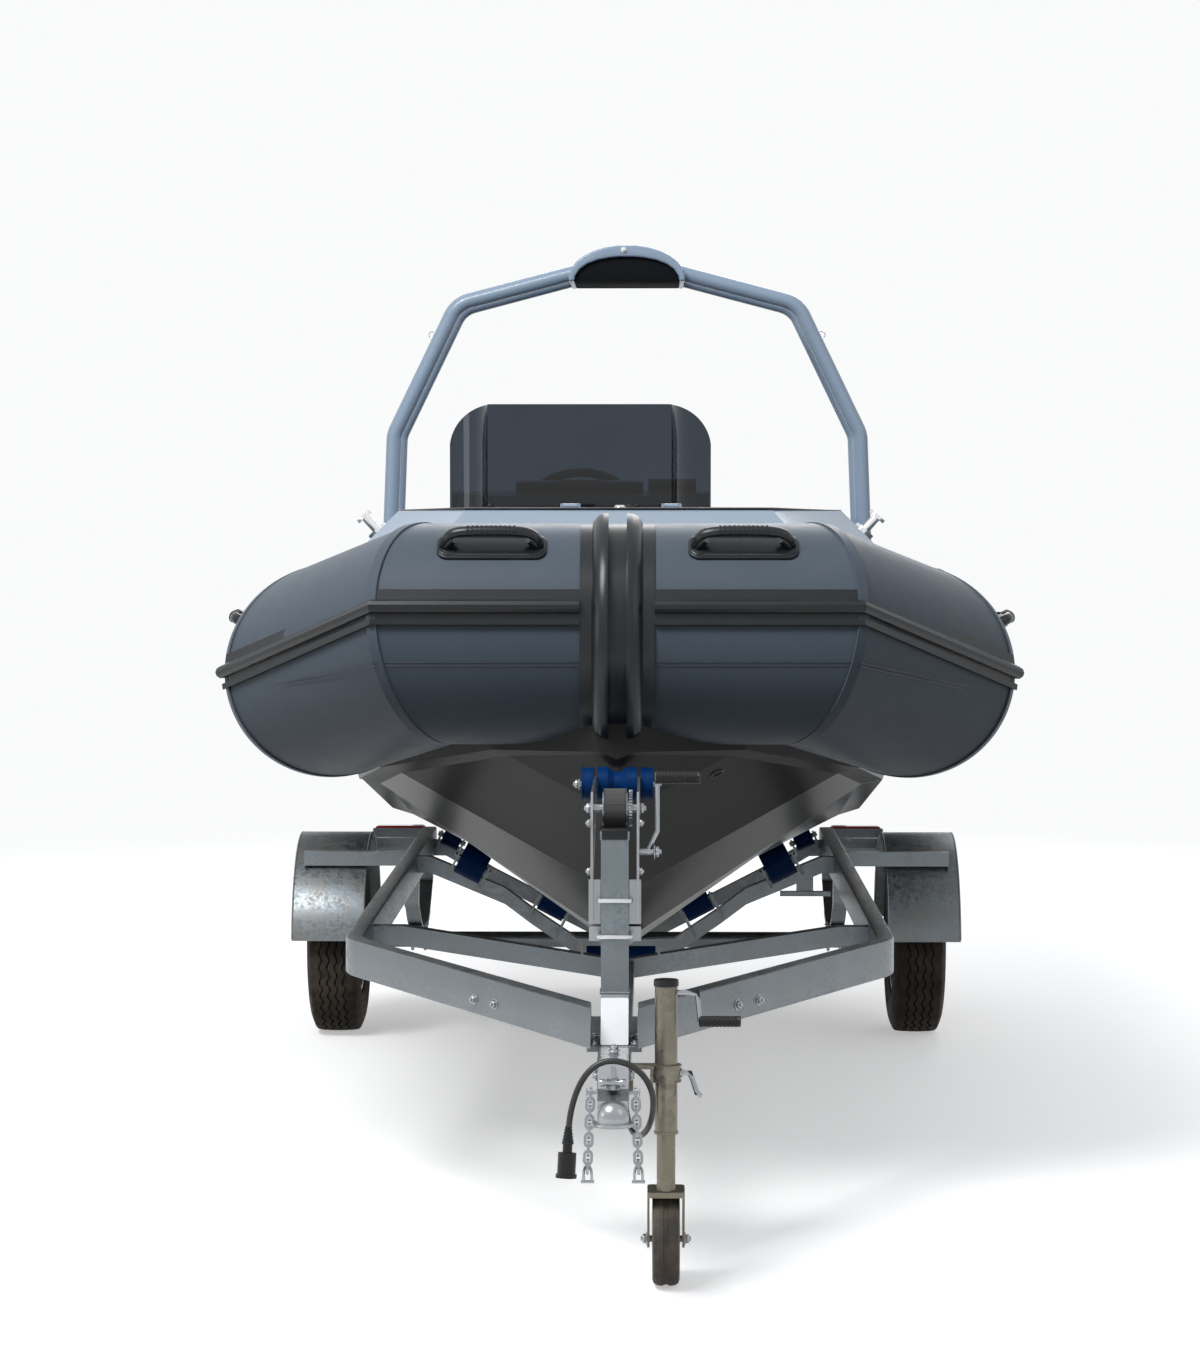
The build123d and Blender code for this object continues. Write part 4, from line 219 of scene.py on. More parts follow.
# ------------------------------------------------------------------- materials
class Finish:
    """A material under construction: its tree, its shader and short ways to feed them."""

    def __init__(self, name, **sockets):
        self.material = bpy.data.materials.new(name)
        self.material.use_nodes = True
        self.tree = self.material.node_tree
        self.shader = self.tree.nodes["Principled BSDF"]
        for key, value in sockets.items():
            self.shader.inputs[key.replace("_", " ")].default_value = value

    def group(self, group, **values):
        """Outputs of a node group with its own values."""
        node = self.tree.nodes.new("ShaderNodeGroup")
        node.node_tree = group
        for key, value in values.items():
            node.inputs[key.replace("_", " ")].default_value = value
        return node.outputs

    def mix(self, factor, a, b):
        """Colour between two colours or sockets."""
        node = self.tree.nodes.new("ShaderNodeMix")
        node.data_type = "RGBA"
        self.tree.links.new(factor, node.inputs[0])
        for index, value in ((6, a), (7, b)):
            if isinstance(value, tuple):
                node.inputs[index].default_value = (*value, 1.0)
            else:
                self.tree.links.new(value, node.inputs[index])
        return node.outputs[2]

    def between(self, factor, low, high):
        """A 0 to 1 value spread from low to high."""
        node = self.tree.nodes.new("ShaderNodeMapRange")
        node.inputs["To Min"].default_value = low
        node.inputs["To Max"].default_value = high
        self.tree.links.new(factor, node.inputs["Value"])
        return node.outputs["Result"]

    def feed(self, socket, source):
        """Link a source to one of the shader's sockets."""
        self.tree.links.new(source, self.shader.inputs[socket])

    def bump(self, height, strength, distance):
        """Raise the surface by a height."""
        node = add_node(self.tree, "ShaderNodeBump", Strength=strength, Distance=distance)
        self.tree.links.new(height, node.inputs["Height"])
        self.tree.links.new(node.outputs["Normal"], self.shader.inputs["Normal"])


def painted(name, base, rough, cloud=0.12, coat=0.0, grain=500.0, bump=0.05, dust=0.0, dust_height=0.7,
            metallic=0.0, shine=0.5):
    """Paint, gelcoat or plastic: cloudy base colour, fine grain, road dust low down."""
    finish = Finish(name, Roughness=rough, Coat_Weight=coat, Coat_Roughness=0.06, Metallic=metallic,
                    Specular_IOR_Level=shine)
    mottle = finish.group(MOTTLE, Cloud_Scale=2.5, Grain_Scale=grain)
    darker, lighter = (tuple(min(1.0, c * share) for c in base) for share in (1 - cloud, 1 + cloud))
    colour = finish.mix(mottle["Cloud"], darker, lighter)
    if dust:
        mask = finish.group(DUST_AND_SHEEN, Height=dust_height, Amount=dust)["Mask"]
        colour = finish.mix(mask, colour, DUST_COLOUR)
    finish.feed("Base Color", colour)
    finish.feed("Roughness", finish.between(mottle["Cloud"], rough * 0.8, min(1.0, rough * 1.25)))
    finish.bump(mottle["Grain"], bump, 0.0004)
    return finish.material


def zinc_coat(name, dark, light, rough, scale, dust):
    """Galvanised or plated steel: facets of different brightness, white haze, road dust."""
    finish = Finish(name, Metallic=0.85, Roughness=rough)
    spangle = finish.group(SPANGLE, Scale=scale)
    colour = finish.mix(spangle["Facet"], dark, light)
    haze = tuple(0.5 * (d + l) * 0.9 for d, l in zip(dark, light))
    colour = finish.mix(spangle["Haze"], colour, haze)
    mask = finish.group(DUST_AND_SHEEN, Height=0.9, Amount=dust)["Mask"]
    finish.feed("Base Color", finish.mix(mask, colour, DUST_COLOUR))
    finish.feed("Roughness", finish.between(spangle["Facet"], rough - 0.1, rough + 0.15))
    finish.feed("Metallic", finish.between(mask, 0.85, 0.1))
    finish.bump(spangle["Haze"], 0.06, 0.001)
    return finish.material


DUST_COLOUR = (0.30, 0.235, 0.17)
DECK_COLOUR = (0.235, 0.300, 0.380)

black_rubber = painted("black_rubber", (0.012, 0.0145, 0.0175), 0.28, cloud=0.25, grain=300.0, bump=0.08,
                       shine=0.32)
arch_paint = painted("arch_paint", (0.265, 0.345, 0.450), 0.32, cloud=0.05, coat=0.2, grain=200.0, bump=0.02,
                     shine=0.4)
black_plastic = painted("black_plastic", (0.010, 0.0105, 0.0115), 0.38, cloud=0.15, grain=350.0, bump=0.08,
                        shine=0.3)
roller_blue = painted("roller_blue", (0.002, 0.030, 0.125), 0.42, cloud=0.18, grain=90.0, bump=0.10,
                      shine=0.07)
lens_red = painted("lens_red", (0.40, 0.015, 0.012), 0.12, cloud=0.05, coat=0.8)
cowl_paint = painted("cowl_paint", (0.035, 0.038, 0.043), 0.18, cloud=0.08, coat=0.7, grain=40.0, bump=0.02)
motor_paint = painted("motor_paint", (0.05, 0.054, 0.06), 0.35, cloud=0.10, coat=0.2)
rim_paint = painted("rim_paint", (0.46, 0.47, 0.48), 0.35, cloud=0.12, dust=0.5, dust_height=0.8,
                    metallic=0.4)
tyre_rubber = painted("tyre_rubber", (0.016, 0.015, 0.014), 0.80, cloud=0.3, grain=160.0, bump=0.3, dust=0.30,
                      dust_height=0.9, shine=0.3)
polished_steel = painted("polished_steel", (0.78, 0.78, 0.79), 0.10, cloud=0.03, grain=60.0, bump=0.02,
                         metallic=1.0)
# Near-black painted shade for the hollow under the arch hood
painted_hood_shade = painted("painted_hood_shade", (0.008, 0.0095, 0.011), 0.85, cloud=0.1, shine=0.05)
white_lens = painted("white_lens", (0.80, 0.80, 0.78), 0.20, cloud=0.03, coat=0.5)
galvanised = zinc_coat("galvanised", (0.152, 0.178, 0.196), (0.228, 0.260, 0.282), 0.38, 140.0, 0.40)
bright_zinc = painted("bright_zinc", (0.34, 0.36, 0.38), 0.27, cloud=0.10, grain=40.0, bump=0.02, dust=0.12,
                      dust_height=0.9, metallic=0.85)
# Bright zinc of the clamps; on the post foot's sloped face it also stands for a painted glint
fresh_zinc_and_glint = painted("fresh_zinc_and_glint", (0.66, 0.68, 0.70), 0.30, cloud=0.14, grain=60.0, bump=0.05, metallic=0.7)
passivated = zinc_coat("passivated", (0.15, 0.135, 0.105), (0.24, 0.22, 0.175), 0.34, 60.0, 0.15)


def deck_finish():
    """Light gloss deck with a nonskid tread on its level faces."""
    finish = Finish("deck_gelcoat", Roughness=0.22, Coat_Weight=0.5, Coat_Roughness=0.08)
    mottle = finish.group(MOTTLE, Cloud_Scale=2.0, Grain_Scale=60.0)
    tread = finish.group(NONSKID, Scale=230.0)
    darker, lighter, trodden = (tuple(c * share for c in DECK_COLOUR) for share in (0.95, 1.05, 0.86))
    base = finish.mix(mottle["Cloud"], darker, lighter)
    finish.feed("Base Color", finish.mix(tread["Level"], base, trodden))
    finish.feed("Roughness", finish.between(tread["Level"], 0.2, 0.55))
    finish.bump(tread["Height"], 0.5, 0.0008)
    return finish.material


def webbing_finish():
    """Black woven strap."""
    finish = Finish("strap_webbing", Roughness=0.7, Sheen_Weight=0.2)
    weave = finish.group(WEAVE, Threads=2600.0)
    finish.feed("Base Color", finish.mix(weave["Height"], (0.012, 0.012, 0.013), (0.045, 0.045, 0.048)))
    finish.bump(weave["Height"], 0.6, 0.0006)
    return finish.material


def upholstery_finish():
    """Dark grey seat vinyl with a leather grain."""
    finish = Finish("seat_vinyl", Roughness=0.45)
    mottle = finish.group(MOTTLE, Cloud_Scale=4.0, Grain_Scale=700.0)
    finish.feed("Base Color", finish.mix(mottle["Cloud"], (0.050, 0.052, 0.056), (0.075, 0.077, 0.082)))
    finish.bump(mottle["Grain"], 0.35, 0.0006)
    return finish.material


def screen_finish():
    """Dark tinted acrylic with light haze."""
    finish = Finish("tinted_screen", Roughness=0.03, IOR=1.45, Transmission_Weight=1.0,
                    Specular_IOR_Level=0.10)
    mottle = finish.group(MOTTLE, Cloud_Scale=5.0, Grain_Scale=80.0)
    finish.feed("Base Color", finish.mix(mottle["Cloud"], (0.012, 0.021, 0.034), (0.024, 0.037, 0.056)))
    finish.feed("Roughness", finish.between(mottle["Cloud"], 0.02, 0.05))
    return finish.material


def collar_finish():
    """Coated cloth of the collar: slate grey, fine weave under the coat, lighter grey patches: a painted
    sheen of the sky on the upward faces, faint scuffs lower down.
    """
    finish = Finish("collar_cloth", Roughness=0.36, Specular_IOR_Level=0.12)
    mottle = finish.group(MOTTLE, Cloud_Scale=2.2, Grain_Scale=26.0)
    weave = finish.group(WEAVE, Threads=1900.0)
    colour = finish.mix(mottle["Cloud"], (0.062, 0.080, 0.101), (0.080, 0.101, 0.127))
    # Lighter grey mixed in: painted sheen of the sky on the upward faces, faint scuffs lower down
    mask = finish.group(DUST_AND_SHEEN, Height=1.6, Amount=0.12)["Mask"]
    finish.feed("Base Color", finish.mix(mask, colour, (0.20, 0.20, 0.19)))
    finish.feed("Roughness", finish.between(mottle["Grain"], 0.34, 0.50))
    finish.bump(weave["Height"], 0.10, 0.0004)
    return finish.material


def hull_finish():
    """Dark gloss hull, with a grey nonskid sole inside it."""
    finish = Finish("dark_gelcoat", Roughness=0.3, Specular_IOR_Level=0.09)
    mottle = finish.group(MOTTLE, Cloud_Scale=2.5, Grain_Scale=30.0)
    tread = finish.group(NONSKID, Scale=230.0)
    shell = finish.mix(mottle["Cloud"], (0.026, 0.0255, 0.025), (0.034, 0.0335, 0.033))
    finish.feed("Base Color", finish.mix(tread["Level"], shell, (0.17, 0.19, 0.21)))
    finish.feed("Roughness", finish.between(tread["Level"], 0.27, 0.7))
    finish.bump(tread["Height"], 0.4, 0.0008)
    return finish.material


deck_gelcoat = deck_finish()
gelcoat = hull_finish()
webbing = webbing_finish()
seat_vinyl = upholstery_finish()
tinted_screen = screen_finish()
collar_cloth = collar_finish()

NODE_FINISH = {
    collar_cloth: ["collar_bow", "collar_port", "collar_starboard"],
    black_rubber: ["rub_strake", "bow_guard", "grab_handles", "jockey_wheel"],
    gelcoat: ["hull"],
    deck_gelcoat: ["side_decks", "bow_deck", "bow_hatch", "bow_locker", "cockpit_sides", "transom_wings",
                   "console", "helm_seat"],
    tinted_screen: ["windscreen"],
    black_plastic: ["dash_pod", "steering_wheel", "jockey_handles", "lead_plug"],
    seat_vinyl: ["seat_cushions"],
    arch_paint: ["arch_hoop_front", "arch_hoop_rear", "arch_hood"],
    polished_steel: ["bollards", "bow_eye"],
    galvanised: ["side_rails", "drawbar", "cross_members", "roller_brackets", "axle", "leaf_springs",
                 "fenders",
                 "fender_supports", "winch_post", "lamp_brackets"],
    bright_zinc: ["coupler", "safety_chains", "winch_frame", "winch_gear"],
    passivated: ["jockey_tube", "jockey_leg", "jockey_fork"],
    roller_blue: ["hull_rollers", "bow_roller"],
    webbing: ["winch_strap"],
    tyre_rubber: ["tyre_port", "tyre_starboard"],
    rim_paint: ["rim_port", "rim_starboard"],
    lens_red: ["lamps"],
    cowl_paint: ["motor_cowl"],
    motor_paint: ["motor_bracket", "motor_swivel", "motor_leg", "propeller"],
}
for material, names in NODE_FINISH.items():
    for name in names:
        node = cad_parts[name]
        if node.material_slots:
            for place in node.material_slots:
                place.material = material
        else:
            node.data.materials.append(material)


# ----------------------------------------------------------- camera and lights
CAMERA_BACK = 7.150  # ahead of the ball
CAMERA_X = 0.080
CAMERA_Z = 1.673
CAMERA_PITCH = 2.96  # down
CAMERA_YAW = 0.85  # to the left
FOCAL_PIXELS = 3500
PICTURE_HEIGHT = 1372
bpy.ops.object.camera_add(
    location=at(CAMERA_X, -CAMERA_BACK, CAMERA_Z),
    rotation=(math.radians(90 - CAMERA_PITCH), 0, math.radians(CAMERA_YAW)),
)
camera = bpy.context.object
camera.data.lens = FOCAL_PIXELS / PICTURE_HEIGHT * camera.data.sensor_width
camera.data.clip_end = 100  # metres
bpy.context.scene.camera = camera

scene = bpy.context.scene
scene.view_settings.view_transform = "Standard"


def pale_ray_mix(tree, surface, background, output):
    """Shows the plain background to camera, mirror and glass rays, the lit surface to others."""
    rays = tree.nodes.new("ShaderNodeLightPath")
    seen = math_node(tree, "MAXIMUM", rays.outputs["Is Camera Ray"], rays.outputs["Is Glossy Ray"])
    seen = math_node(tree, "MAXIMUM", seen, rays.outputs["Is Transmission Ray"])
    mix = tree.nodes.new("ShaderNodeMixShader")
    tree.links.new(seen, mix.inputs[0])
    tree.links.new(surface, mix.inputs[1])
    tree.links.new(background, mix.inputs[2])
    tree.links.new(mix.outputs[0], output)


BACKDROP = (0.955, 0.96, 0.965, 1.0)
SKY_COLOUR = (0.93, 0.96, 1.0, 1.0)
SKY_STRENGTH = 0.42
FLOOR_GLOW = 0.42  # lifts the floor's paint to near white, and leaves its shadow
FADE_FROM, FADE_TO = 4.2, 8.5  # the floor runs into the backdrop between these distances
world = bpy.data.worlds.new("studio")
scene.world = world
world.use_nodes = True
sky = world.node_tree.nodes["Background"]
sky.inputs["Color"].default_value = SKY_COLOUR
sky.inputs["Strength"].default_value = SKY_STRENGTH
seen_sky = add_node(world.node_tree, "ShaderNodeBackground", Color=BACKDROP, Strength=1.0)
world_end = world.node_tree.nodes["World Output"]
pale_ray_mix(world.node_tree, sky.outputs[0], seen_sky.outputs[0], world_end.inputs["Surface"])

# lamp name, place, size, watts
LAMPS = [
    ("key", (-3.2, -5.4, 7.4), 3.2, 620),
    ("side", (-6.5, -4.2, 2.1), 2.4, 38),
    ("fill", (5.5, -5.0, 4.5), 4.0, 35),
    ("rear", (1.0, 7.5, 6.5), 5.0, 300),
]
LAMP_AIM = Vector((0, -1.0, 0.8))
for name, place, size, watts in LAMPS:
    bpy.ops.object.light_add(type="AREA", location=place)
    lamp = bpy.context.object
    lamp.name = name + "_lamp"
    lamp.data.size = size
    lamp.data.energy = watts
    aim = LAMP_AIM - Vector(place)
    lamp.rotation_euler = aim.to_track_quat("-Z", "Y").to_euler()

bpy.ops.mesh.primitive_plane_add(size=60, location=(0, 0, 0))
floor = bpy.context.object
floor.name = "floor"
floor_finish = Finish("pale_floor", Roughness=0.9)
floor_finish.shader.inputs["Base Color"].default_value = (0.055, 0.055, 0.055, 1.0)
floor_tree = floor_finish.tree
pale_paint = add_node(floor_tree, "ShaderNodeBsdfDiffuse", Color=(0.80, 0.80, 0.80, 1.0))
pale_glow = add_node(floor_tree, "ShaderNodeEmission", Color=(1.0, 1.0, 1.0, 1.0), Strength=FLOOR_GLOW)
pale_sum = floor_tree.nodes.new("ShaderNodeAddShader")
floor_tree.links.new(pale_paint.outputs[0], pale_sum.inputs[0])
floor_tree.links.new(pale_glow.outputs[0], pale_sum.inputs[1])
far_glow = add_node(floor_tree, "ShaderNodeEmission", Color=BACKDROP, Strength=1.0)
spot = add_node(floor_tree, "ShaderNodeTexCoord")
reach = add_node(floor_tree, "ShaderNodeVectorMath", operation="LENGTH")
floor_tree.links.new(spot.outputs["Object"], reach.inputs[0])
pale_mix = floor_tree.nodes.new("ShaderNodeMixShader")
floor_tree.links.new(ramp(floor_tree, reach.outputs["Value"], FADE_FROM, FADE_TO), pale_mix.inputs[0])
floor_tree.links.new(pale_sum.outputs[0], pale_mix.inputs[1])
floor_tree.links.new(far_glow.outputs[0], pale_mix.inputs[2])
pale_ray_mix(floor_tree, floor_finish.shader.outputs[0], pale_mix.outputs[0],
             floor_tree.nodes["Material Output"].inputs["Surface"])
floor.data.materials.append(floor_finish.material)

# --------------------------------------------------------------- lighting lead
LEAD_RADIUS = 0.0065
LEAD_ROUTE = [
    (0.022, 0.262, 0.416),
    (0.025, 0.254, 0.386),
    (0.033, 0.230, 0.356),
    (0.045, 0.188, 0.342),
    (0.060, 0.142, 0.350),
    (0.075, 0.103, 0.376),
    (0.084, 0.070, 0.414),
    (0.083, 0.044, 0.458),
    (0.067, 0.036, 0.492),
    (0.041, 0.033, 0.515),
    (0.012, 0.032, 0.526),
    (-0.020, 0.032, 0.525),
    (-0.048, 0.030, 0.508),
    (-0.069, 0.027, 0.478),
    (-0.083, 0.023, 0.440),
    (-0.091, 0.018, 0.398),
    (-0.093, 0.014, 0.356),
]
lead_curve = bpy.data.curves.new("lighting_lead", "CURVE")
lead_curve.dimensions = "3D"
lead_curve.bevel_depth = LEAD_RADIUS
lead_curve.bevel_resolution = 6
lead_curve.use_fill_caps = True
lead_line = lead_curve.splines.new("NURBS")
lead_line.points.add(len(LEAD_ROUTE) - 1)
for point, place in zip(lead_line.points, LEAD_ROUTE):
    point.co = (*at(*place), 1.0)
lead_line.order_u = 3
lead_line.use_endpoint_u = True
lead_line.resolution_u = 12
lighting_lead = bpy.data.objects.new("lighting_lead", lead_curve)
scene.collection.objects.link(lighting_lead)
lead_rubber = painted("lead_rubber", (0.015, 0.015, 0.016), 0.38, cloud=0.2, grain=200.0, bump=0.08,
                      dust=0.06)
lead_curve.materials.append(lead_rubber)
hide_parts("lead")
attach(lighting_lead, BOAT)


# ------------------------------------------------------- ways of making pieces
def only(piece):
    """Select this piece alone and make it the active one."""
    bpy.ops.object.select_all(action="DESELECT")
    piece.select_set(True)
    bpy.context.view_layer.objects.active = piece
    return piece


def ease(piece, width, segments=2, angle=35):
    """Round a piece's sharp edges."""
    only(piece)
    rounding = piece.modifiers.new("rounding", "BEVEL")
    rounding.width = width
    rounding.segments = segments
    rounding.limit_method = "ANGLE"
    rounding.angle_limit = math.radians(angle)
    bpy.ops.object.modifier_apply(modifier="rounding")
    return piece


def turned(outline, steps=48):
    """Solid of revolution about Z from a closed outline of (radius, height) points."""
    bpy.ops.mesh.primitive_circle_add(vertices=len(outline), radius=1)
    piece = bpy.context.object
    for vertex, (radius, height) in zip(piece.data.vertices, outline):
        vertex.co = (radius, 0.0, height)
    bpy.ops.object.mode_set(mode="EDIT")
    bpy.ops.mesh.select_all(action="SELECT")
    bpy.ops.mesh.spin(steps=steps, angle=2 * math.pi, center=(0, 0, 0), axis=(0, 0, 1))
    bpy.ops.mesh.select_all(action="SELECT")
    bpy.ops.mesh.remove_doubles(threshold=1e-6)
    bpy.ops.mesh.normals_make_consistent(inside=False)
    bpy.ops.object.mode_set(mode="OBJECT")
    return piece


def plate(outline, thickness, edge=0.0008, segments=2):
    """Flat plate on local XY from an outline of (x, y) points, its edges eased."""
    bpy.ops.mesh.primitive_circle_add(vertices=len(outline), radius=1, fill_type="NGON")
    piece = bpy.context.object
    for vertex, (x, y) in zip(piece.data.vertices, outline):
        vertex.co = (x, y, 0.0)
    bpy.ops.object.mode_set(mode="EDIT")
    bpy.ops.mesh.select_all(action="SELECT")
    bpy.ops.mesh.extrude_region_move(TRANSFORM_OT_translate={"value": (0, 0, thickness)})
    bpy.ops.mesh.select_all(action="SELECT")
    bpy.ops.mesh.normals_make_consistent(inside=False)
    bpy.ops.object.mode_set(mode="OBJECT")
    if edge:
        ease(piece, edge, segments)
    return piece


def round_corners(length, width, radius, steps=5):
    """Outline of a rectangle with round corners about the origin."""
    outline = []
    for quarter, (sx, sy) in enumerate(((1, 1), (-1, 1), (-1, -1), (1, -1))):
        for step in range(steps + 1):
            angle = math.radians(90 * (quarter + step / steps))
            outline.append((
                sx * (length / 2 - radius) + radius * math.cos(angle),
                sy * (width / 2 - radius) + radius * math.sin(angle),
            ))
    return outline


def rod(places, radius, smooth=True, closed=False, sides=3):
    """Round rod, wire or bead through its points, as a mesh."""
    curve = bpy.data.curves.new("rod", "CURVE")
    curve.dimensions = "3D"
    curve.bevel_depth = radius
    curve.bevel_resolution = sides
    curve.use_fill_caps = True
    line = curve.splines.new("NURBS" if smooth else "POLY")
    line.points.add(len(places) - 1)
    for point, place in zip(line.points, places):
        point.co = (*place, 1.0)
    line.use_cyclic_u = closed
    if smooth:
        line.order_u = 3
        line.use_endpoint_u = not closed
        line.resolution_u = 6
    piece = bpy.data.objects.new("rod", curve)
    scene.collection.objects.link(piece)
    only(piece)
    bpy.ops.object.convert(target="MESH")
    return bpy.context.object


def stand(piece, centre, axis=UP, turn=0.0, size=1.0):
    """Move a piece's mesh from the origin to its place, with its Z along axis."""
    aim = Vector(axis).to_track_quat("Z", "Y").to_matrix().to_4x4()
    piece.data.transform(Matrix.Translation(centre) @ aim @ Matrix.Rotation(turn, 4, "Z") @ Matrix.Scale(size,
            4))
    return piece


def frame_of(piece, centre, side, up):
    """Move a piece's mesh so that its X lies along side and its Y along up."""
    x, y = Vector(side).normalized(), Vector(up).normalized()
    z = x.cross(y)
    turn = Matrix((x, y, z)).transposed().to_4x4()
    piece.data.transform(Matrix.Translation(centre) @ turn)
    return piece


def twin(piece):
    """Copy of a piece with its own mesh."""
    copy = piece.copy()
    copy.data = piece.data.copy()
    scene.collection.objects.link(copy)
    return copy


def mirrored(piece):
    """Copy of a piece on the other side of the boat."""
    copy = twin(piece)
    copy.data.transform(Matrix.Scale(-1, 4, (1, 0, 0)))
    only(copy)
    bpy.ops.object.mode_set(mode="EDIT")
    bpy.ops.mesh.select_all(action="SELECT")
    bpy.ops.mesh.flip_normals()
    bpy.ops.object.mode_set(mode="OBJECT")
    return copy


def joined(pieces):
    """Several pieces as one, in the first one's object."""
    bpy.ops.object.select_all(action="DESELECT")
    for piece in pieces:
        piece.select_set(True)
    bpy.context.view_layer.objects.active = pieces[0]
    if len(pieces) > 1:
        bpy.ops.object.join()
    return bpy.context.view_layer.objects.active


def both(piece):
    """A port piece and its starboard twin as one."""
    return joined([piece, mirrored(piece)])


def fitted(outline, steps, centre, axis=UP):
    """Turned piece at its place, with its Z along axis."""
    return stand(turned(outline, steps), centre, axis)


def round_band(inner, outer, width, edge, centre, axis=UP):
    """Hoop of flat band with its outer edges let down."""
    return fitted([(inner, 0), (outer, edge), (outer, width - edge), (inner, width)], 40, centre, axis)


def dress(piece, name, finish, body=BOAT, angle=35):
    """Name a piece, give it its finish, smooth it and let it ride on its body."""
    piece.name = name
    piece.data.materials.clear()
    piece.data.materials.append(finish)
    only(piece)
    bpy.ops.object.shade_smooth_by_angle(angle=math.radians(angle))
    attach(piece, body)
    return piece


NUT_TURN = 0.35  # each nut of a row stands at another angle


def set_out(pattern, places, name, finish, body=BOAT, both_sides=False):
    """Copies of a pattern piece joined as one; each place is centre, axis and size."""
    made = []
    for centre, axis, size in places:
        made.append(stand(twin(pattern), centre, axis, NUT_TURN * len(made), size))
    piece = both(joined(made)) if both_sides else joined(made)
    return dress(piece, name, finish, body)


# Hexagon nut on its washer with the bolt's end through it; one unit is half its width
bpy.ops.mesh.primitive_cylinder_add(vertices=6, radius=1.15, depth=0.8, location=(0, 0, 0.6))
nut_hexagon = bpy.context.object
bpy.ops.object.transform_apply(location=True)
ease(nut_hexagon, 0.12, 1)
nut_washer = turned([(0.0, 0.0), (1.5, 0.0), (1.5, 0.15), (1.42, 0.2), (0.0, 0.2)], 20)
nut_stud = turned([(0.0, 0.9), (0.55, 0.9), (0.55, 1.35), (0.45, 1.45), (0.0, 1.48)], 12)
HEX_NUT = joined([nut_hexagon, nut_washer, nut_stud])
# Domed screw head; one unit is its radius
SCREW_HEAD = turned([(0.0, 0.0), (1.0, 0.0), (0.98, 0.12), (0.8, 0.38), (0.5, 0.52), (0.32, 0.56),
                     (0.24, 0.42), (0.0, 0.40)], 16)

# ----------------------------------------------------------------------- tyres
TREAD_GROOVES = (-0.036, -0.012, 0.012, 0.036)
GROOVE_HALF, GROOVE_FLOOR_HALF, GROOVE_FLOOR = 0.0034, 0.0020, 0.2815
TREAD_CROWN = 0.8  # fall of the tread towards its shoulders
TREAD_STEPS = 144
ZIGZAG = 0.0038
LUG_CUT = 0.985  # depth of the cuts across the shoulders, as a share of the radius


def road_tyre():
    """Tyre with zigzag grooves, sidewall ribs and an open bead."""
    side = [
        (0.1650, 0.0560), (0.1665, 0.0625), (0.1720, 0.0660), (0.1790, 0.0668), (0.1800, 0.0700),
        (0.1830, 0.0720), (0.1850, 0.0715), (0.2050, 0.0790), (0.2120, 0.0805), (0.2135, 0.0822),
        (0.2180, 0.0824), (0.2195, 0.0812), (0.2280, 0.0822), (0.2400, 0.0818), (0.2520, 0.0795),
        (0.2640, 0.0755), (0.2740, 0.0710), (0.2800, 0.0685), (0.2850, 0.0640), (0.2868, 0.0590),
    ]
    tread = []
    for middle in reversed(TREAD_GROOVES):
        crown = TYRE_R - TREAD_CROWN * middle ** 2
        tread += [(crown, middle + GROOVE_HALF), (GROOVE_FLOOR, middle + GROOVE_FLOOR_HALF),
                  (GROOVE_FLOOR, middle - GROOVE_FLOOR_HALF), (crown, middle - GROOVE_HALF)]
    outline = side + tread + [(radius, -height) for radius, height in reversed(side)]
    outline += [(0.1650, -0.0540), (0.1650, 0.0540)]
    tyre = turned(outline, TREAD_STEPS)
    for vertex in tyre.data.vertices:
        radius = math.hypot(vertex.co.x, vertex.co.y)
        step = round(math.atan2(vertex.co.y, vertex.co.x) / (2 * math.pi / TREAD_STEPS))
        if radius > 0.2812 and abs(vertex.co.z) < 0.045:
            vertex.co.z += ZIGZAG * (1 if step % 4 < 2 else -1)
        elif radius > 0.2845 and step % 4 == 0:
            vertex.co.x *= LUG_CUT
            vertex.co.y *= LUG_CUT
    return tyre


port_tyre = stand(road_tyre(), at(WHEEL_X, AXLE_AFT, TYRE_R), PORT)
starboard_tyre = mirrored(port_tyre)
for tyre, side in ((port_tyre, "port"), (starboard_tyre, "starboard")):
    dress(tyre, "road_tyre_" + side, tyre_rubber, "wheel_" + side, 28)
    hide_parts("tyre_" + side)

# Wheel nuts on their circle, and the valve
NUT_CIRCLE = 0.078
wheel_nuts = []
for index in range(5):
    angle = math.radians(72 * index + 18)
    aft, rise = NUT_CIRCLE * math.cos(angle), NUT_CIRCLE * math.sin(angle)
    wheel_nuts.append((at(WHEEL_X + 0.0298, AXLE_AFT + aft, TYRE_R + rise), PORT, 0.0105))
port_nuts = set_out(HEX_NUT, wheel_nuts, "wheel_nuts_port", bright_zinc, "wheel_port")
dress(mirrored(port_nuts), "wheel_nuts_starboard", bright_zinc, "wheel_starboard")
port_valve = fitted([
    (0, 0), (0.0075, 0), (0.0070, 0.008), (0.0042, 0.012), (0.0042, 0.030), (0.0050, 0.031), (0.0050, 0.040),
    (0, 0.042),
], 16, at(WHEEL_X + 0.042, AXLE_AFT, TYRE_R + 0.143), (1, 0, -0.3))
dress(port_valve, "valve_port", black_rubber, "wheel_port")
dress(mirrored(port_valve), "valve_starboard", black_rubber, "wheel_starboard")

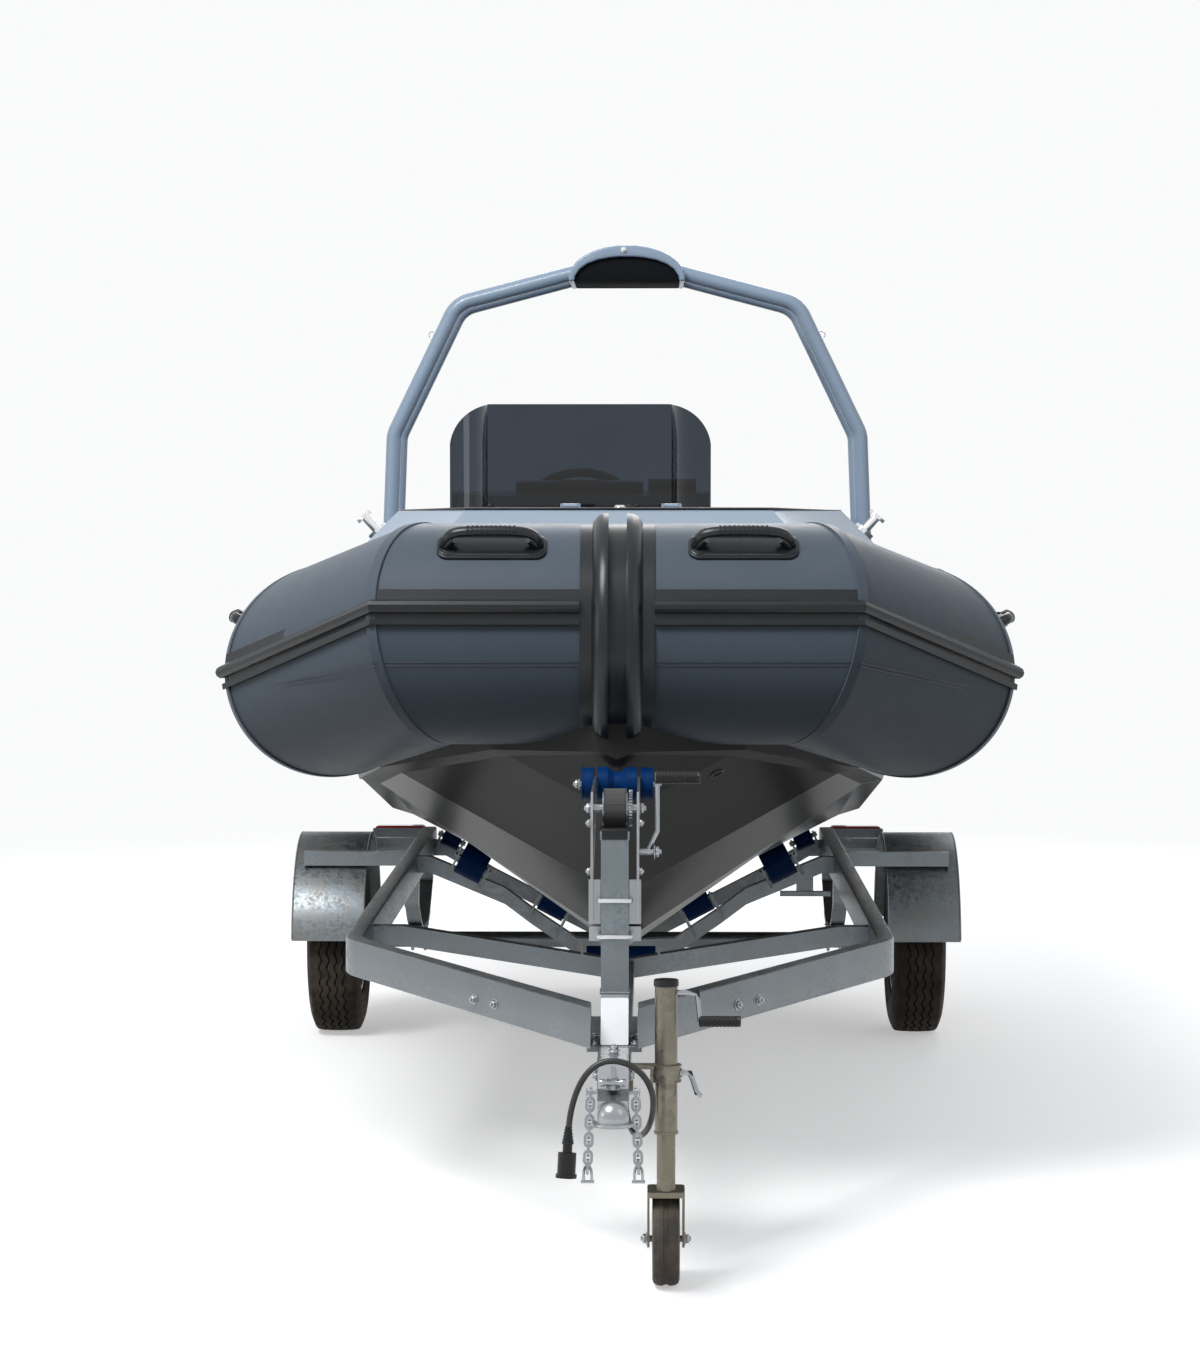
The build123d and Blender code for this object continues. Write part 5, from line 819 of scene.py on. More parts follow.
# --------------------------------------------------------------- trailer bolts
fender_bolts = [
    (at(x, AXLE_AFT + way * 0.212, TYRE_R + 0.2735), (0, way * 0.63, 0.78), 0.006)
    for way in (-1, 1) for x in (0.850, 0.990)
]
foot_nuts = [(at(x, aft, 0.510), UP, 0.0085) for x in (-0.045, 0.045) for aft in (0.330, 0.440)]
hanger_nuts = [(at(0.683, aft, 0.540), PORT, 0.008) for aft in (3.640, 4.260)]
SPRING_BOLTS = (3.915, 3.985)
spring_nuts = [(at(x, aft, 0.333), UP, 0.0065) for aft in SPRING_BOLTS for x in (0.640, 0.681)]
set_out(HEX_NUT, spring_nuts, "spring_bolt_nuts", bright_zinc, both_sides=True)

# U-bolts clamping the axle to the springs
fore, rear = SPRING_BOLTS
axle_straps = []
for x in (0.6405, 0.6805):
    legs = [(fore, 0.336), (fore, 0.268), (fore + 0.007, 0.262)]
    strap = legs + [(rear - 0.007, 0.262), (rear, 0.268), (rear, 0.336)]
    axle_straps.append(rod([at(x, aft, z) for aft, z in strap], 0.0052, smooth=False))
dress(both(joined(axle_straps)), "axle_clamps", bright_zinc)

# Nuts of the winch post's foot and of the spring hangers
set_out(HEX_NUT, foot_nuts, "post_foot_nuts", bright_zinc)
set_out(HEX_NUT, hanger_nuts, "spring_hanger_nuts", bright_zinc, both_sides=True)

# ---------------------------------------------------------- winch and its post
UBOLT_X = 0.0343
ubolt_nuts = [(at(x, aft, z), AFT, 0.0068) for z, aft in POST_CLAMPS for x in (-UBOLT_X, UBOLT_X)]
set_out(HEX_NUT, ubolt_nuts, "post_clamp_nuts", bright_zinc)

# Weld round the post's knee
knee = [(-0.031, 0.3945), (0.031, 0.3945), (0.031, 0.4555), (-0.031, 0.4555)]
knee_weld = rod([at(x, aft, 0.616) for x, aft in knee], 0.0028, smooth=False, closed=True)
dress(knee_weld, "post_knee_weld", galvanised)

# Gear of the winch with its teeth, over the plain disc of the gear
GEAR_TEETH = 34
GEAR_ROOT, GEAR_TIP = 0.0352, 0.0402
TOOTH = ((0.0, GEAR_ROOT), (0.28, GEAR_ROOT), (0.42, GEAR_TIP), (0.66, GEAR_TIP), (0.80, GEAR_ROOT))
gear_outline = []
for tooth in range(GEAR_TEETH):
    for share, radius in TOOTH:
        angle = 2 * math.pi * (tooth + share) / GEAR_TEETH
        gear_outline.append((radius * math.cos(angle), radius * math.sin(angle)))
gear = stand(plate(gear_outline, 0.0080, 0.0003, 1), at(0.0301, *DRUM), PORT)
dress(gear, "winch_gear_ring", bright_zinc)

# Edges of the webbing wound on the drum
WRAP_R, WRAP_PITCH, WRAP_HALF = 0.0425, 0.0022, 0.0009
webbing_turns = []
for turn in range(5):
    radius = WRAP_R - WRAP_PITCH * turn
    for x in (-0.0243, 0.0243):
        place = at(x - 0.0006, *DRUM)
        webbing_turns.append(round_band(radius - WRAP_HALF, radius + WRAP_HALF, 0.0012, 0, place, PORT))
for x in (-0.015, 0.0, 0.015):
    webbing_turns.append(round_band(0.0421, 0.0427, 0.0018, 0, at(x, *DRUM), PORT))
dress(joined(webbing_turns), "wound_webbing", webbing)

# Ribbed grips and the nuts of winch and frame
def ribbed_grip(radius, length, ribs):
    """Moulded grip along Z with finger ribs and a rounded end."""
    outline = [(0.0, 0.0), (radius * 0.8, 0.0), (radius, 0.002)]
    waist = radius * 0.93
    step = (length - 0.010) / ribs
    for rib in range(ribs):
        start = 0.004 + step * rib
        outline += [(radius, start + step * 0.1), (radius, start + step * 0.6),
                    (waist, start + step * 0.7), (waist, start + step * 0.95)]
    outline += [(radius, length - 0.004), (radius * 0.85, length - 0.001), (0.0, length)]
    return turned(outline, 24)


crank_grip = stand(ribbed_grip(0.0142, 0.100, 12), at(0.0865, 0.445, 1.081), PORT)
dress(crank_grip, "crank_grip", black_plastic)
winch_nuts = [(at(0.085, 0.445, 0.919), PORT, 0.011)]
THROUGH_BOLTS = (
    (0.0525, DRUM, 0.0105), (0.0525, (0.405, 0.880), 0.0075), (0.0525, (0.405, 0.985), 0.0075),
    (0.088, BOW_ROLLER, 0.0105),
)
for x, place, size in THROUGH_BOLTS:
    winch_nuts += [(at(side * x, *place), PORT * side, size) for side in (1, -1)]
set_out(HEX_NUT, winch_nuts, "winch_nuts", bright_zinc)
# Cap of the post
post_cap = plate(round_corners(0.0655, 0.0655, 0.008), 0.0245, 0.003, 3)
stand(post_cap, at(0, 0.425, 0.9485))
dress(post_cap, "post_cap", black_plastic)

# Ribs round the ends of the bow roller
roller_ribs = []
for x in (-0.0695, 0.0695):
    for edge in (-0.012, 0.012):
        roller_ribs.append(round_band(0.0365, 0.0388, 0.004, 0.0005, at(x + edge - 0.002, *BOW_ROLLER), PORT))
dress(joined(roller_ribs), "bow_roller_ribs", roller_blue)

# ---------------------------------------------------------- coupler and chains
# Latch with its cross handle, spring and wire
latch_bar = fitted([
    (0, 0), (0.0065, 0), (0.0078, 0.002), (0.0078, 0.010), (0.0060, 0.014),
    (0.0060, 0.042), (0.0078, 0.046), (0.0078, 0.054), (0.0065, 0.056), (0, 0.056),
], 20, at(-0.028, 0.024, 0.4815), PORT)
COIL_R = 0.0095
COIL_STEPS = 9  # points per turn
latch_spring = []
for step in range(64):
    angle = step * 2 * math.pi / COIL_STEPS
    latch_spring.append(at(COIL_R * math.cos(angle), 0.050 + COIL_R * math.sin(angle), 0.463 + 0.0004 * step))
spring_wire = rod(latch_spring, 0.0013, sides=1)
latch_wire = rod([
    at(-0.012, 0.064, 0.470), at(-0.015, 0.040, 0.479), at(-0.010, 0.018, 0.492), at(0.0, 0.012, 0.495),
    at(0.010, 0.018, 0.492), at(0.015, 0.040, 0.479), at(0.012, 0.064, 0.470),
], 0.0018, sides=2)
dress(joined([latch_bar, spring_wire, latch_wire]), "coupler_latch", bright_zinc)
# Bolts through the neck
COUPLER_BOLT = 0.0085
coupler_bolts = [
    (at(side * half, aft, 0.474), PORT * side, COUPLER_BOLT)
    for half, aft in ((0.0320, 0.150), (0.0345, 0.225)) for side in (-1, 1)
]
coupler_bolts += [(at(0, aft, 0.5120), UP, COUPLER_BOLT) for aft in (0.205, 0.265)]
set_out(HEX_NUT, coupler_bolts, "coupler_bolts", bright_zinc)
# Rolled edge round the coupler's skirt
SKIRT_R = 0.0405
skirt = [math.radians(degrees) for degrees in range(0, 360, 20)]
skirt_bead = rod([at(SKIRT_R * math.cos(a), SKIRT_R * math.sin(a), 0.4005) for a in skirt], 0.0036,
                 closed=True)
dress(skirt_bead, "coupler_skirt_bead", bright_zinc)

# Bow shackles at the chains' lower ends
CHAIN_TOP = (0.047, 0.096, 0.443)
CHAIN_WAY = (0.04, -0.16, -0.98)  # hangs a little outwards and ahead
CHAIN_LENGTH = 0.150
SHACKLE = [(0.008, -0.030), (0.009, -0.012), (0.006, 0), (0, 0.004), (-0.006, 0), (-0.009, -0.012),
           (-0.008, -0.030)]
chain_x, chain_aft, chain_z = (top + way * CHAIN_LENGTH for top, way in zip(CHAIN_TOP, CHAIN_WAY))
shackles = []
for side in (-1, 1):
    end = at(side * chain_x, chain_aft, chain_z)
    shackles.append(rod([end + Vector((x, 0, z)) for x, z in SHACKLE], 0.0030, sides=2))
    pin = [end + Vector((x, 0, -0.030)) for x in (-0.014, 0.014)]
    shackles.append(rod(pin, 0.0034, smooth=False, sides=2))
dress(joined(shackles), "chain_shackles", bright_zinc)

# ---------------------------------------------------------------- jockey wheel
clamp_bands = [round_band(0.0305, 0.0330, 0.004, 0.0005, at(*JOCKEY, height)) for height in (0.4475, 0.4805)]
clamp_bands.append(round_band(0.0238, 0.0262, 0.007, 0.001, at(*JOCKEY, 0.3352)))
dress(joined(clamp_bands), "jockey_clamp_bands", passivated)
jockey_cap = fitted([
    (0, 0), (0.0262, 0), (0.0268, 0.002), (0.0268, 0.010), (0.0255, 0.0138), (0.0160, 0.0152),
    (0.0155, 0.0142), (0, 0.0142),
], 36, at(*JOCKEY, 0.6520))
dress(jockey_cap, "jockey_cap", black_plastic)
crank_sleeve = stand(ribbed_grip(0.0122, 0.090, 10), at(0.1805, JOCKEY[1], 0.576), PORT)
dress(crank_sleeve, "jockey_crank_grip", black_plastic)
CRANK_ARM = [(0.133, 0.638), (0.165, 0.638), (0.177, 0.634), (0.1795, 0.615), (0.1815, 0.590), (0.183, 0.577),
             (0.192, 0.576)]
CLAMP_ARM = [(0.140, 0.466), (0.156, 0.467), (0.163, 0.462), (0.172, 0.438), (0.1775, 0.421), (0.186, 0.416)]
arms = [rod([at(x, JOCKEY[1], z) for x, z in arm], 0.0056) for arm in (CRANK_ARM, CLAMP_ARM)]
clamp_boss = fitted([(0, 0), (0.009, 0), (0.0095, 0.001), (0.0095, 0.011), (0.008, 0.012), (0, 0.012)], 24,
                    at(0.1345, JOCKEY[1], 0.466), PORT)
jockey_crank = joined([*arms, clamp_boss])
dress(jockey_crank, "jockey_crank_rods", bright_zinc)

# Jockey wheel: rubber tread with a hub pressed in, each from one half of its section
def wheel_of(half, steps):
    """Jockey wheel's part from the (radius, width) outline of its starboard half."""
    outline = half + [(radius, -width) for radius, width in reversed(half)]
    return fitted(outline, steps, at(JOCKEY[0], *JOCKEY_AXLE), PORT)


jockey_tread = wheel_of([
    (0.060, -0.0265), (0.066, -0.0290), (0.086, -0.0295), (0.0945, -0.0265), (0.0985, -0.0200),
    (0.0998, -0.0120), (0.0998, -0.0060), (0.0975, -0.0045),
], 72)
hub_disc = wheel_of([
    (0.0085, -0.0280), (0.0200, -0.0280), (0.0215, -0.0260), (0.0230, -0.0160), (0.0500, -0.0140),
    (0.0560, -0.0240), (0.0615, -0.0240),
], 48)
wheel_rubber = painted("wheel_rubber", (0.028, 0.028, 0.029), 0.7, cloud=0.2, grain=180.0, bump=0.2, dust=0.5,
                       dust_height=0.4)
dress(jockey_tread, "jockey_tread", wheel_rubber, "jockey_roller")
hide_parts("jockey_wheel")
dress(hub_disc, "jockey_hub", rim_paint, "jockey_roller")
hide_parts("jockey_wheel")
axle_nuts = [(at(JOCKEY[0] + side * 0.0405, *JOCKEY_AXLE), PORT * side, 0.0095) for side in (-1, 1)]
set_out(HEX_NUT, axle_nuts, "jockey_axle_nuts", bright_zinc, "jockey_yoke")

# ----------------------------------------------------------------- collar trim
def level_and_up(level, angle):
    """Direction at an angle above a level one, in degrees."""
    tilt = math.radians(angle)
    return level * math.cos(tilt) + UP * math.sin(tilt)


def on_line(start, end, aft):
    """Point at a station of the straight line between two places."""
    share = (aft - start[1]) / (end[1] - start[1])
    return at(*(start[i] + (end[i] - start[i]) * share for i in range(3)))


def ring_tape(centre, normal, width):
    """Thin seam tape round the tube, in the plane through centre across normal."""
    outer, edge = COLLAR_R + 0.0015, width / 2 - 0.0006
    section = [(COLLAR_R, -width / 2), (outer, -edge), (outer, edge), (COLLAR_R, width / 2)]
    return fitted(section, 96, centre, normal)


def tube_axis(aft):
    """Point of the side tube's axis at a station."""
    return on_line(MITRE_2, STERN, aft)


# The collar's runs, each along its own way
side_way = (at(*STERN) - at(*MITRE_2)).normalized()
corner_way = (at(*MITRE_2) - at(*MITRE_1)).normalized()
bow_way = PORT
MITRES = ((MITRE_1, bow_way, corner_way), (MITRE_2, corner_way, side_way))


def mitre_tape(corner, way_in, way_out, width):
    """Seam tape along a mitre: an ellipse in the plane that halves the bend."""
    halving = (way_in + way_out).normalized()
    across = (way_in - way_out).normalized()
    stretch = 1 / way_in.dot(halving)
    third = halving.cross(across)
    inner, outer, edge = COLLAR_R - 0.002, COLLAR_R + 0.0012, width / 2 - 0.001
    band = turned([(inner, -width / 2), (outer, -edge), (outer, edge), (inner, width / 2)], 128)
    for vertex in band.data.vertices:
        vertex.co.x *= stretch
    turn = Matrix((across, third, halving)).transposed().to_4x4()
    band.data.transform(Matrix.Translation(corner) @ turn)
    return band


seam_tapes = [mitre_tape(at(*corner), way_in, way_out, 0.026) for corner, way_in, way_out in MITRES]
seam_tapes += [ring_tape(tube_axis(aft), side_way, 0.030) for aft in (2.72, 3.95, 5.195)]
tapes = joined(seam_tapes)
only(tapes)
bpy.ops.object.mode_set(mode="EDIT")
bpy.ops.mesh.select_all(action="SELECT")
bpy.ops.mesh.normals_make_consistent(inside=False)
bpy.ops.object.mode_set(mode="OBJECT")
dress(both(tapes), "collar_seam_tapes", collar_cloth)


def outward_of(way):
    """Level direction away from the boat, across a run of the tube."""
    return Vector((way.y, -way.x, 0)).normalized()


# Long glued seams of the cloth under the strake
LAP_R = COLLAR_R + 0.0004
lap_seams = []
for angle in (-12.5, -14.5, 168.0):
    places = [at(0, BOW_AFT, BOW_Z) + level_and_up(outward_of(bow_way), angle) * LAP_R]
    for corner, way_in, way_out in MITRES:
        outward = (outward_of(way_in) + outward_of(way_out)).normalized()
        reach = 1 / outward.dot(outward_of(way_in))
        places.append(at(*corner) + level_and_up(outward * reach, angle) * LAP_R)
    places.append(at(*STERN) + level_and_up(outward_of(side_way), angle) * LAP_R)
    lap_seams.append(rod(places, 0.0009, smooth=False, sides=1))
dress(both(joined(lap_seams)), "collar_lap_seams", black_rubber)

# Inflation valves on the upper outer side of each tube
VALVE = turned([
    (0, 0), (0.030, 0), (0.032, 0.002), (0.031, 0.005), (0.024, 0.007), (0.022, 0.0072), (0.0215, 0.012),
    (0.019, 0.014), (0.006, 0.0145), (0.005, 0.0125), (0, 0.0125),
], 32)
valve_way = level_and_up(outward_of(side_way), 62.0)
valve_lift = valve_way * (COLLAR_R - 0.001)
valve_places = [(tube_axis(aft) + valve_lift, valve_way, 1.0) for aft in (2.30, 3.40, 4.75)]
set_out(VALVE, valve_places, "inflation_valves", black_plastic, both_sides=True)

# End caps of the tubes: ribbed rubber discs on the cones
CONE_LENGTH = 0.440
tube_cap = fitted([
    (0, 0), (0.0950, 0), (0.0985, 0.002), (0.0985, 0.006), (0.094, 0.0085), (0.060, 0.0092), (0.058, 0.0072),
    (0, 0.0072),
], 48, at(*STERN) + side_way * (CONE_LENGTH - 0.002), side_way)
dress(both(tube_cap), "collar_end_caps", black_rubber)

# ----------------------------------------------------------------------- decks
DECK_BOW = (0.370, 1.330, 1.662)
DECK_CORNER = (0.547, 1.560, 1.656)
DECK_STERN = (0.745, 5.160, 1.603)


def ridge(aft):
    """Ridge of the side deck at a station aft of its corner."""
    return on_line(DECK_CORNER, DECK_STERN, aft)


edge_line = [at(0, *DECK_BOW[1:]), at(*DECK_BOW), at(*DECK_CORNER), ridge(2.3), ridge(3.6), at(*DECK_STERN)]
deck_edge = rod([place + UP * 0.0015 for place in edge_line], 0.0042, smooth=False, sides=2)
dress(both(deck_edge), "deck_edge_trim", black_rubber)
# Rubber gasket ahead of the bow deck
bow_gasket = plate(round_corners(0.700, 0.012, 0.004), 0.005, 0.001)
stand(bow_gasket, at(0, DECK_BOW[1] + 0.016, DECK_BOW[2] - 0.0005))
dress(bow_gasket, "bow_deck_gasket", black_rubber)

# Nonskid panels on the side decks
nonskid_pad = painted("nonskid_pad", (0.20, 0.215, 0.235), 0.75, cloud=0.08, grain=900.0, bump=0.6)
PAD_OUTER, PAD_INNER = 0.018, 0.098  # in from the ridge
pads = []
for start, end in ((2.30, 3.00), (3.08, 3.85), (4.42, 5.05)):
    fore, rear = ridge(start), ridge(end)
    panel = plate([(fore.x - PAD_OUTER, fore.y), (rear.x - PAD_OUTER, rear.y),
                   (rear.x - PAD_INNER, rear.y), (fore.x - PAD_INNER, fore.y)], 0.0022, 0.001)
    for vertex in panel.data.vertices:
        share = (vertex.co.y - fore.y) / (rear.y - fore.y)
        vertex.co.z += fore.z + (rear.z - fore.z) * share - 0.0002
    pads.append(panel)
dress(both(joined(pads)), "deck_nonskid_panels", nonskid_pad)

# Latch and hinge screws of the bow hatch
LATCH_AFT = 1.555
hatch_latch = joined([
    stand(plate(round_corners(0.070, 0.045, 0.012), 0.003, 0.0008), at(0, LATCH_AFT, 1.6618)),
    fitted([(0, 0), (0.015, 0), (0.0155, 0.002), (0.014, 0.0045), (0, 0.005)], 28, at(0, LATCH_AFT, 1.6645)),
    rod([at(x, LATCH_AFT, 1.6705) for x in (-0.011, 0.011)], 0.0026, smooth=False),
])
dress(hatch_latch, "hatch_latch", polished_steel, "hatch_lid")
lid_screws = [(at(x, 1.846, 1.6622), UP, 0.0048) for x in (-0.145, -0.115, 0.115, 0.145)]
set_out(SCREW_HEAD, lid_screws, "hatch_hinge_screws", polished_steel, "hatch_lid")
lid_pad = plate(round_corners(0.350, 0.230, 0.030), 0.0018, 0.0006)
stand(lid_pad, at(0, 1.715, 1.6619))
dress(lid_pad, "hatch_nonskid", nonskid_pad, "hatch_lid")

# Masthead light on the hood
masthead_at = at(-0.010, 3.9385, 2.4760)
masthead = [
    fitted(outline, 24, masthead_at, -AFT) for outline in (
        [(0, 0), (0.0085, 0), (0.009, 0.001), (0.009, 0.004), (0, 0.004)],
        [(0, 0.003), (0.0068, 0.003), (0.0064, 0.0075), (0.004, 0.0095), (0, 0.010)],
    )
]
dress(joined(masthead), "masthead_light", white_lens)

# Small eyes on the hoops' shoulders
HOOPS = ((4.000, "front"), (4.280, "rear"))
EYE_X, EYE_Z = 0.6085, 2.2114
eyes = []
for aft, name in HOOPS:
    bpy.ops.mesh.primitive_torus_add(major_radius=0.0125, minor_radius=0.0028, major_segments=28,
                                     minor_segments=10)
    eyes.append(stand(bpy.context.object, at(EYE_X + 0.008, aft, EYE_Z), AFT))
    foot = [(0, 0), (0.0085, 0), (0.0085, 0.003), (0.005, 0.005), (0, 0.005)]
    eyes.append(fitted(foot, 20, at(EYE_X - 0.004, aft, EYE_Z), (0.9, 0, 0.43)))
dress(both(joined(eyes)), "hoop_eyes", polished_steel)

# ---------------------------------------------------------------------- screen
studs = [(at(x, 3.0500, 1.6700), -AFT, 0.0085) for x in (-0.391, -0.178, 0.036)]
set_out(SCREW_HEAD, studs, "screen_studs", black_plastic)

# --------------------------------------------------------------- trailer rails
RAIL_HALF_WIDTH = 0.0225
RAIL_FOOT, RAIL_DEPTH = 0.512, 0.090
# The rail's middle line in plan
RAIL_END = Vector((0.6605, 4.480))
RAIL_BEND = Vector((0.6605, 1.475))
RAIL_APEX = Vector((0.0575, 0.330))
RAIL_BEND_RADIUS = 0.260
BEND_STEPS = 16
RAIL_CUT_X = 0.050  # front ends are sawn lengthwise, beside the post
leg_way = (RAIL_APEX - RAIL_BEND).normalized()
leg_out = Vector((-leg_way.y, leg_way.x))


def rail_outline():
    """Plan of a side rail: straight run, round bend and front leg."""
    back = Vector((0.0, 1.0))
    half_angle = back.angle(leg_way) / 2
    centre = RAIL_BEND + (back + leg_way).normalized() * (RAIL_BEND_RADIUS / math.sin(half_angle))
    sweep = math.pi - 2 * half_angle
    sides = []
    for half in (RAIL_HALF_WIDTH, -RAIL_HALF_WIDTH):
        line = [RAIL_END + Vector((half, 0))]
        for step in range(BEND_STEPS + 1):
            angle = -sweep * step / BEND_STEPS
            line.append(centre + Vector((math.cos(angle), math.sin(angle))) * (RAIL_BEND_RADIUS + half))
        apex = RAIL_APEX + leg_out * half
        line.append(apex + leg_way * (RAIL_CUT_X - apex.x) / leg_way.x)
        sides.append(line)
    outer, inner = sides
    return [(spot.x, BALL_Y + spot.y) for spot in outer + inner[::-1]]


port_rail = plate(rail_outline(), RAIL_DEPTH, 0.005, 3)
port_rail.data.transform(Matrix.Translation((0, 0, RAIL_FOOT)))
rails = dress(both(port_rail), "bent_side_rails", galvanised, angle=25)
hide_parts("side_rails")
rail_plug = plate(round_corners(0.043, 0.088, 0.006), 0.006, 0.002)
frame_of(rail_plug, at(RAIL_END.x, RAIL_END.y + 0.006, RAIL_FOOT + RAIL_DEPTH / 2), PORT, UP)
dress(both(rail_plug), "rail_end_plugs", black_plastic)
leg_bolts = []
for reach, height in ((0.42, 0.549), (0.53, 0.546)):
    spot = RAIL_APEX - leg_way * reach + leg_out * RAIL_HALF_WIDTH
    leg_bolts.append((at(*spot, height), (*leg_out, 0), 0.0085))
set_out(HEX_NUT, leg_bolts, "rail_leg_bolts", bright_zinc, both_sides=True)

# ------------------------------------------------------------------- arch hood
def whole_arc(half):
    """Arc from its port half, carried on to starboard."""
    return half + [(-x, z) for x, z in reversed(half)]


HOOD_AFT, HOOD_DEPTH = 4.342, 0.404
CORE_INSET = 0.015
hood_arc = whole_arc([
    (0.183, 2.3785), (0.184, 2.394), (0.176, 2.418), (0.160, 2.440), (0.137, 2.458), (0.105, 2.474),
    (0.068, 2.485), (0.030, 2.491),
])
recess_arc = whole_arc([
    (0.166, 2.3785), (0.163, 2.396), (0.148, 2.417), (0.124, 2.433), (0.092, 2.445), (0.055, 2.452),
    (0.022, 2.455),
])
hood_shell = plate(hood_arc + recess_arc[::-1], HOOD_DEPTH, 0.0065, 4)
frame_of(hood_shell, at(0, HOOD_AFT, 0), PORT, UP)
dress(hood_shell, "hood_shell", arch_paint, angle=40)
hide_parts("arch_hood")
# Dark block set inside the hood's recess: painted shade of the hollow under the hood
hood_core = plate([(x * 1.004, z + 0.0005) for x, z in recess_arc], HOOD_DEPTH - 2 * CORE_INSET, 0.002)
frame_of(hood_core, at(0, HOOD_AFT - CORE_INSET, 0), PORT, UP)
dress(hood_core, "hood_core", painted_hood_shade, angle=40)
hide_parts("arch_hood")

# Hoops of round tube, bent at the knees, shoulders and peak
HOOP_BEND, HOOP_TUBE = 0.090, 0.0241
HOOP_LINE = [
    (-0.758, 1.440), (-0.740, 1.898), (-0.540, 2.310), (0.0, 2.452), (0.540, 2.310), (0.740, 1.898),
    (0.758, 1.440),
]


def bent(corners, radius, steps=10):
    """Points of a line in its plane with its corners rounded."""
    corners = [Vector(corner) for corner in corners]
    places = [corners[0]]
    for before, corner, after in zip(corners, corners[1:], corners[2:]):
        come = (before - corner).normalized()
        leave = (after - corner).normalized()
        half = come.angle(leave) / 2
        centre = corner + (come + leave).normalized() * (radius / math.sin(half))
        start = corner + come * (radius / math.tan(half)) - centre
        stop = corner + leave * (radius / math.tan(half)) - centre
        sweep = math.atan2(start.x * stop.y - start.y * stop.x, start.dot(stop))
        for step in range(steps + 1):
            places.append(centre + Matrix.Rotation(sweep * step / steps, 2) @ start)
    places.append(corners[-1])
    return places


for aft, name in HOOPS:
    line = [at(spot.x, aft, spot.y) for spot in bent(HOOP_LINE, HOOP_BEND)]
    hoop = rod(line, HOOP_TUBE, smooth=False, sides=10)
    dress(hoop, "round_hoop_" + name, arch_paint, angle=50)
    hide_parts("arch_hoop_" + name)

# ---------------------------------------------------------------- grab handles
HANDLE_FLAT = 1.35  # the loop is wider than it is thick


def grab_handle():
    """Moulded handle on its pad: local X along the grip, Z away from the tube."""
    base = plate(round_corners(0.255, 0.084, 0.026, 7), 0.011, 0.003, 3)
    rim_line = [(x, y, 0.0115) for x, y in round_corners(0.243, 0.072, 0.022)]
    rim = rod(rim_line, 0.0028, smooth=False, closed=True, sides=2)
    rise = [(-0.110, 0.008), (-0.108, 0.028), (-0.092, 0.046), (-0.060, 0.053)]
    arc = rise + [(0, 0.0545)] + [(-x, z) for x, z in reversed(rise)]
    parts = [base, rim, rod([(x, 0, z) for x, z in arc], 0.0108, sides=4)]
    for side in (-1, 1):
        root = [(0.106, 0.006), (0.101, 0.022), (0.088, 0.034)]
        parts.append(rod([(side * x, 0, z) for x, z in root], 0.0135, sides=4))
    rib = [(0.0100, -0.0024), (0.0122, -0.0014), (0.0122, 0.0014), (0.0100, 0.0024)]
    for step in range(-5, 6):
        parts.append(fitted(rib, 24, (0.0108 * step, 0, 0.0536), PORT))
    for part in parts[2:]:
        for vertex in part.data.vertices:
            vertex.co.y *= HANDLE_FLAT
    handle = joined(parts)
    for vertex in handle.data.vertices:
        vertex.co.z -= vertex.co.y ** 2 / (2 * COLLAR_R)
    return handle


handle_pattern = grab_handle()
side_level = Vector((side_way.x, side_way.y, 0)).normalized()
handles = []
for spot, along, rise in ((at(0.292, BOW_AFT, BOW_Z), PORT, 52), (tube_axis(2.05), side_level, 24)):
    normal = level_and_up(outward_of(along), rise)
    foot = spot + normal * (COLLAR_R - 0.003)
    handles.append(frame_of(twin(handle_pattern), foot, along, normal.cross(along)))
bpy.data.objects.remove(handle_pattern)
moulded = dress(both(joined(handles)), "moulded_grab_handles", black_rubber, angle=40)
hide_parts("grab_handles")

# --------------------------------------------------------------- seat cushions
(SEAT_X0, SEAT_Y0, SEAT_Z0), (SEAT_X1, _, SEAT_Z1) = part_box("seat_cushions")
SEAT_MIDDLE = (SEAT_X0 + SEAT_X1) / 2
SEAT_WIDE = SEAT_X1 - SEAT_X0
CUSHION, BACK_CUSHION = 0.090, 0.066  # thickness
BACK_FOOT = 4.090
SEAM_ROOM, CROWN_ROOM = 0.006, 0.007  # the block is smaller than the cushion by these
BLOW_FRAMES = 20
LEAST_CROWN = 0.4  # of the swell, in the middle of a face


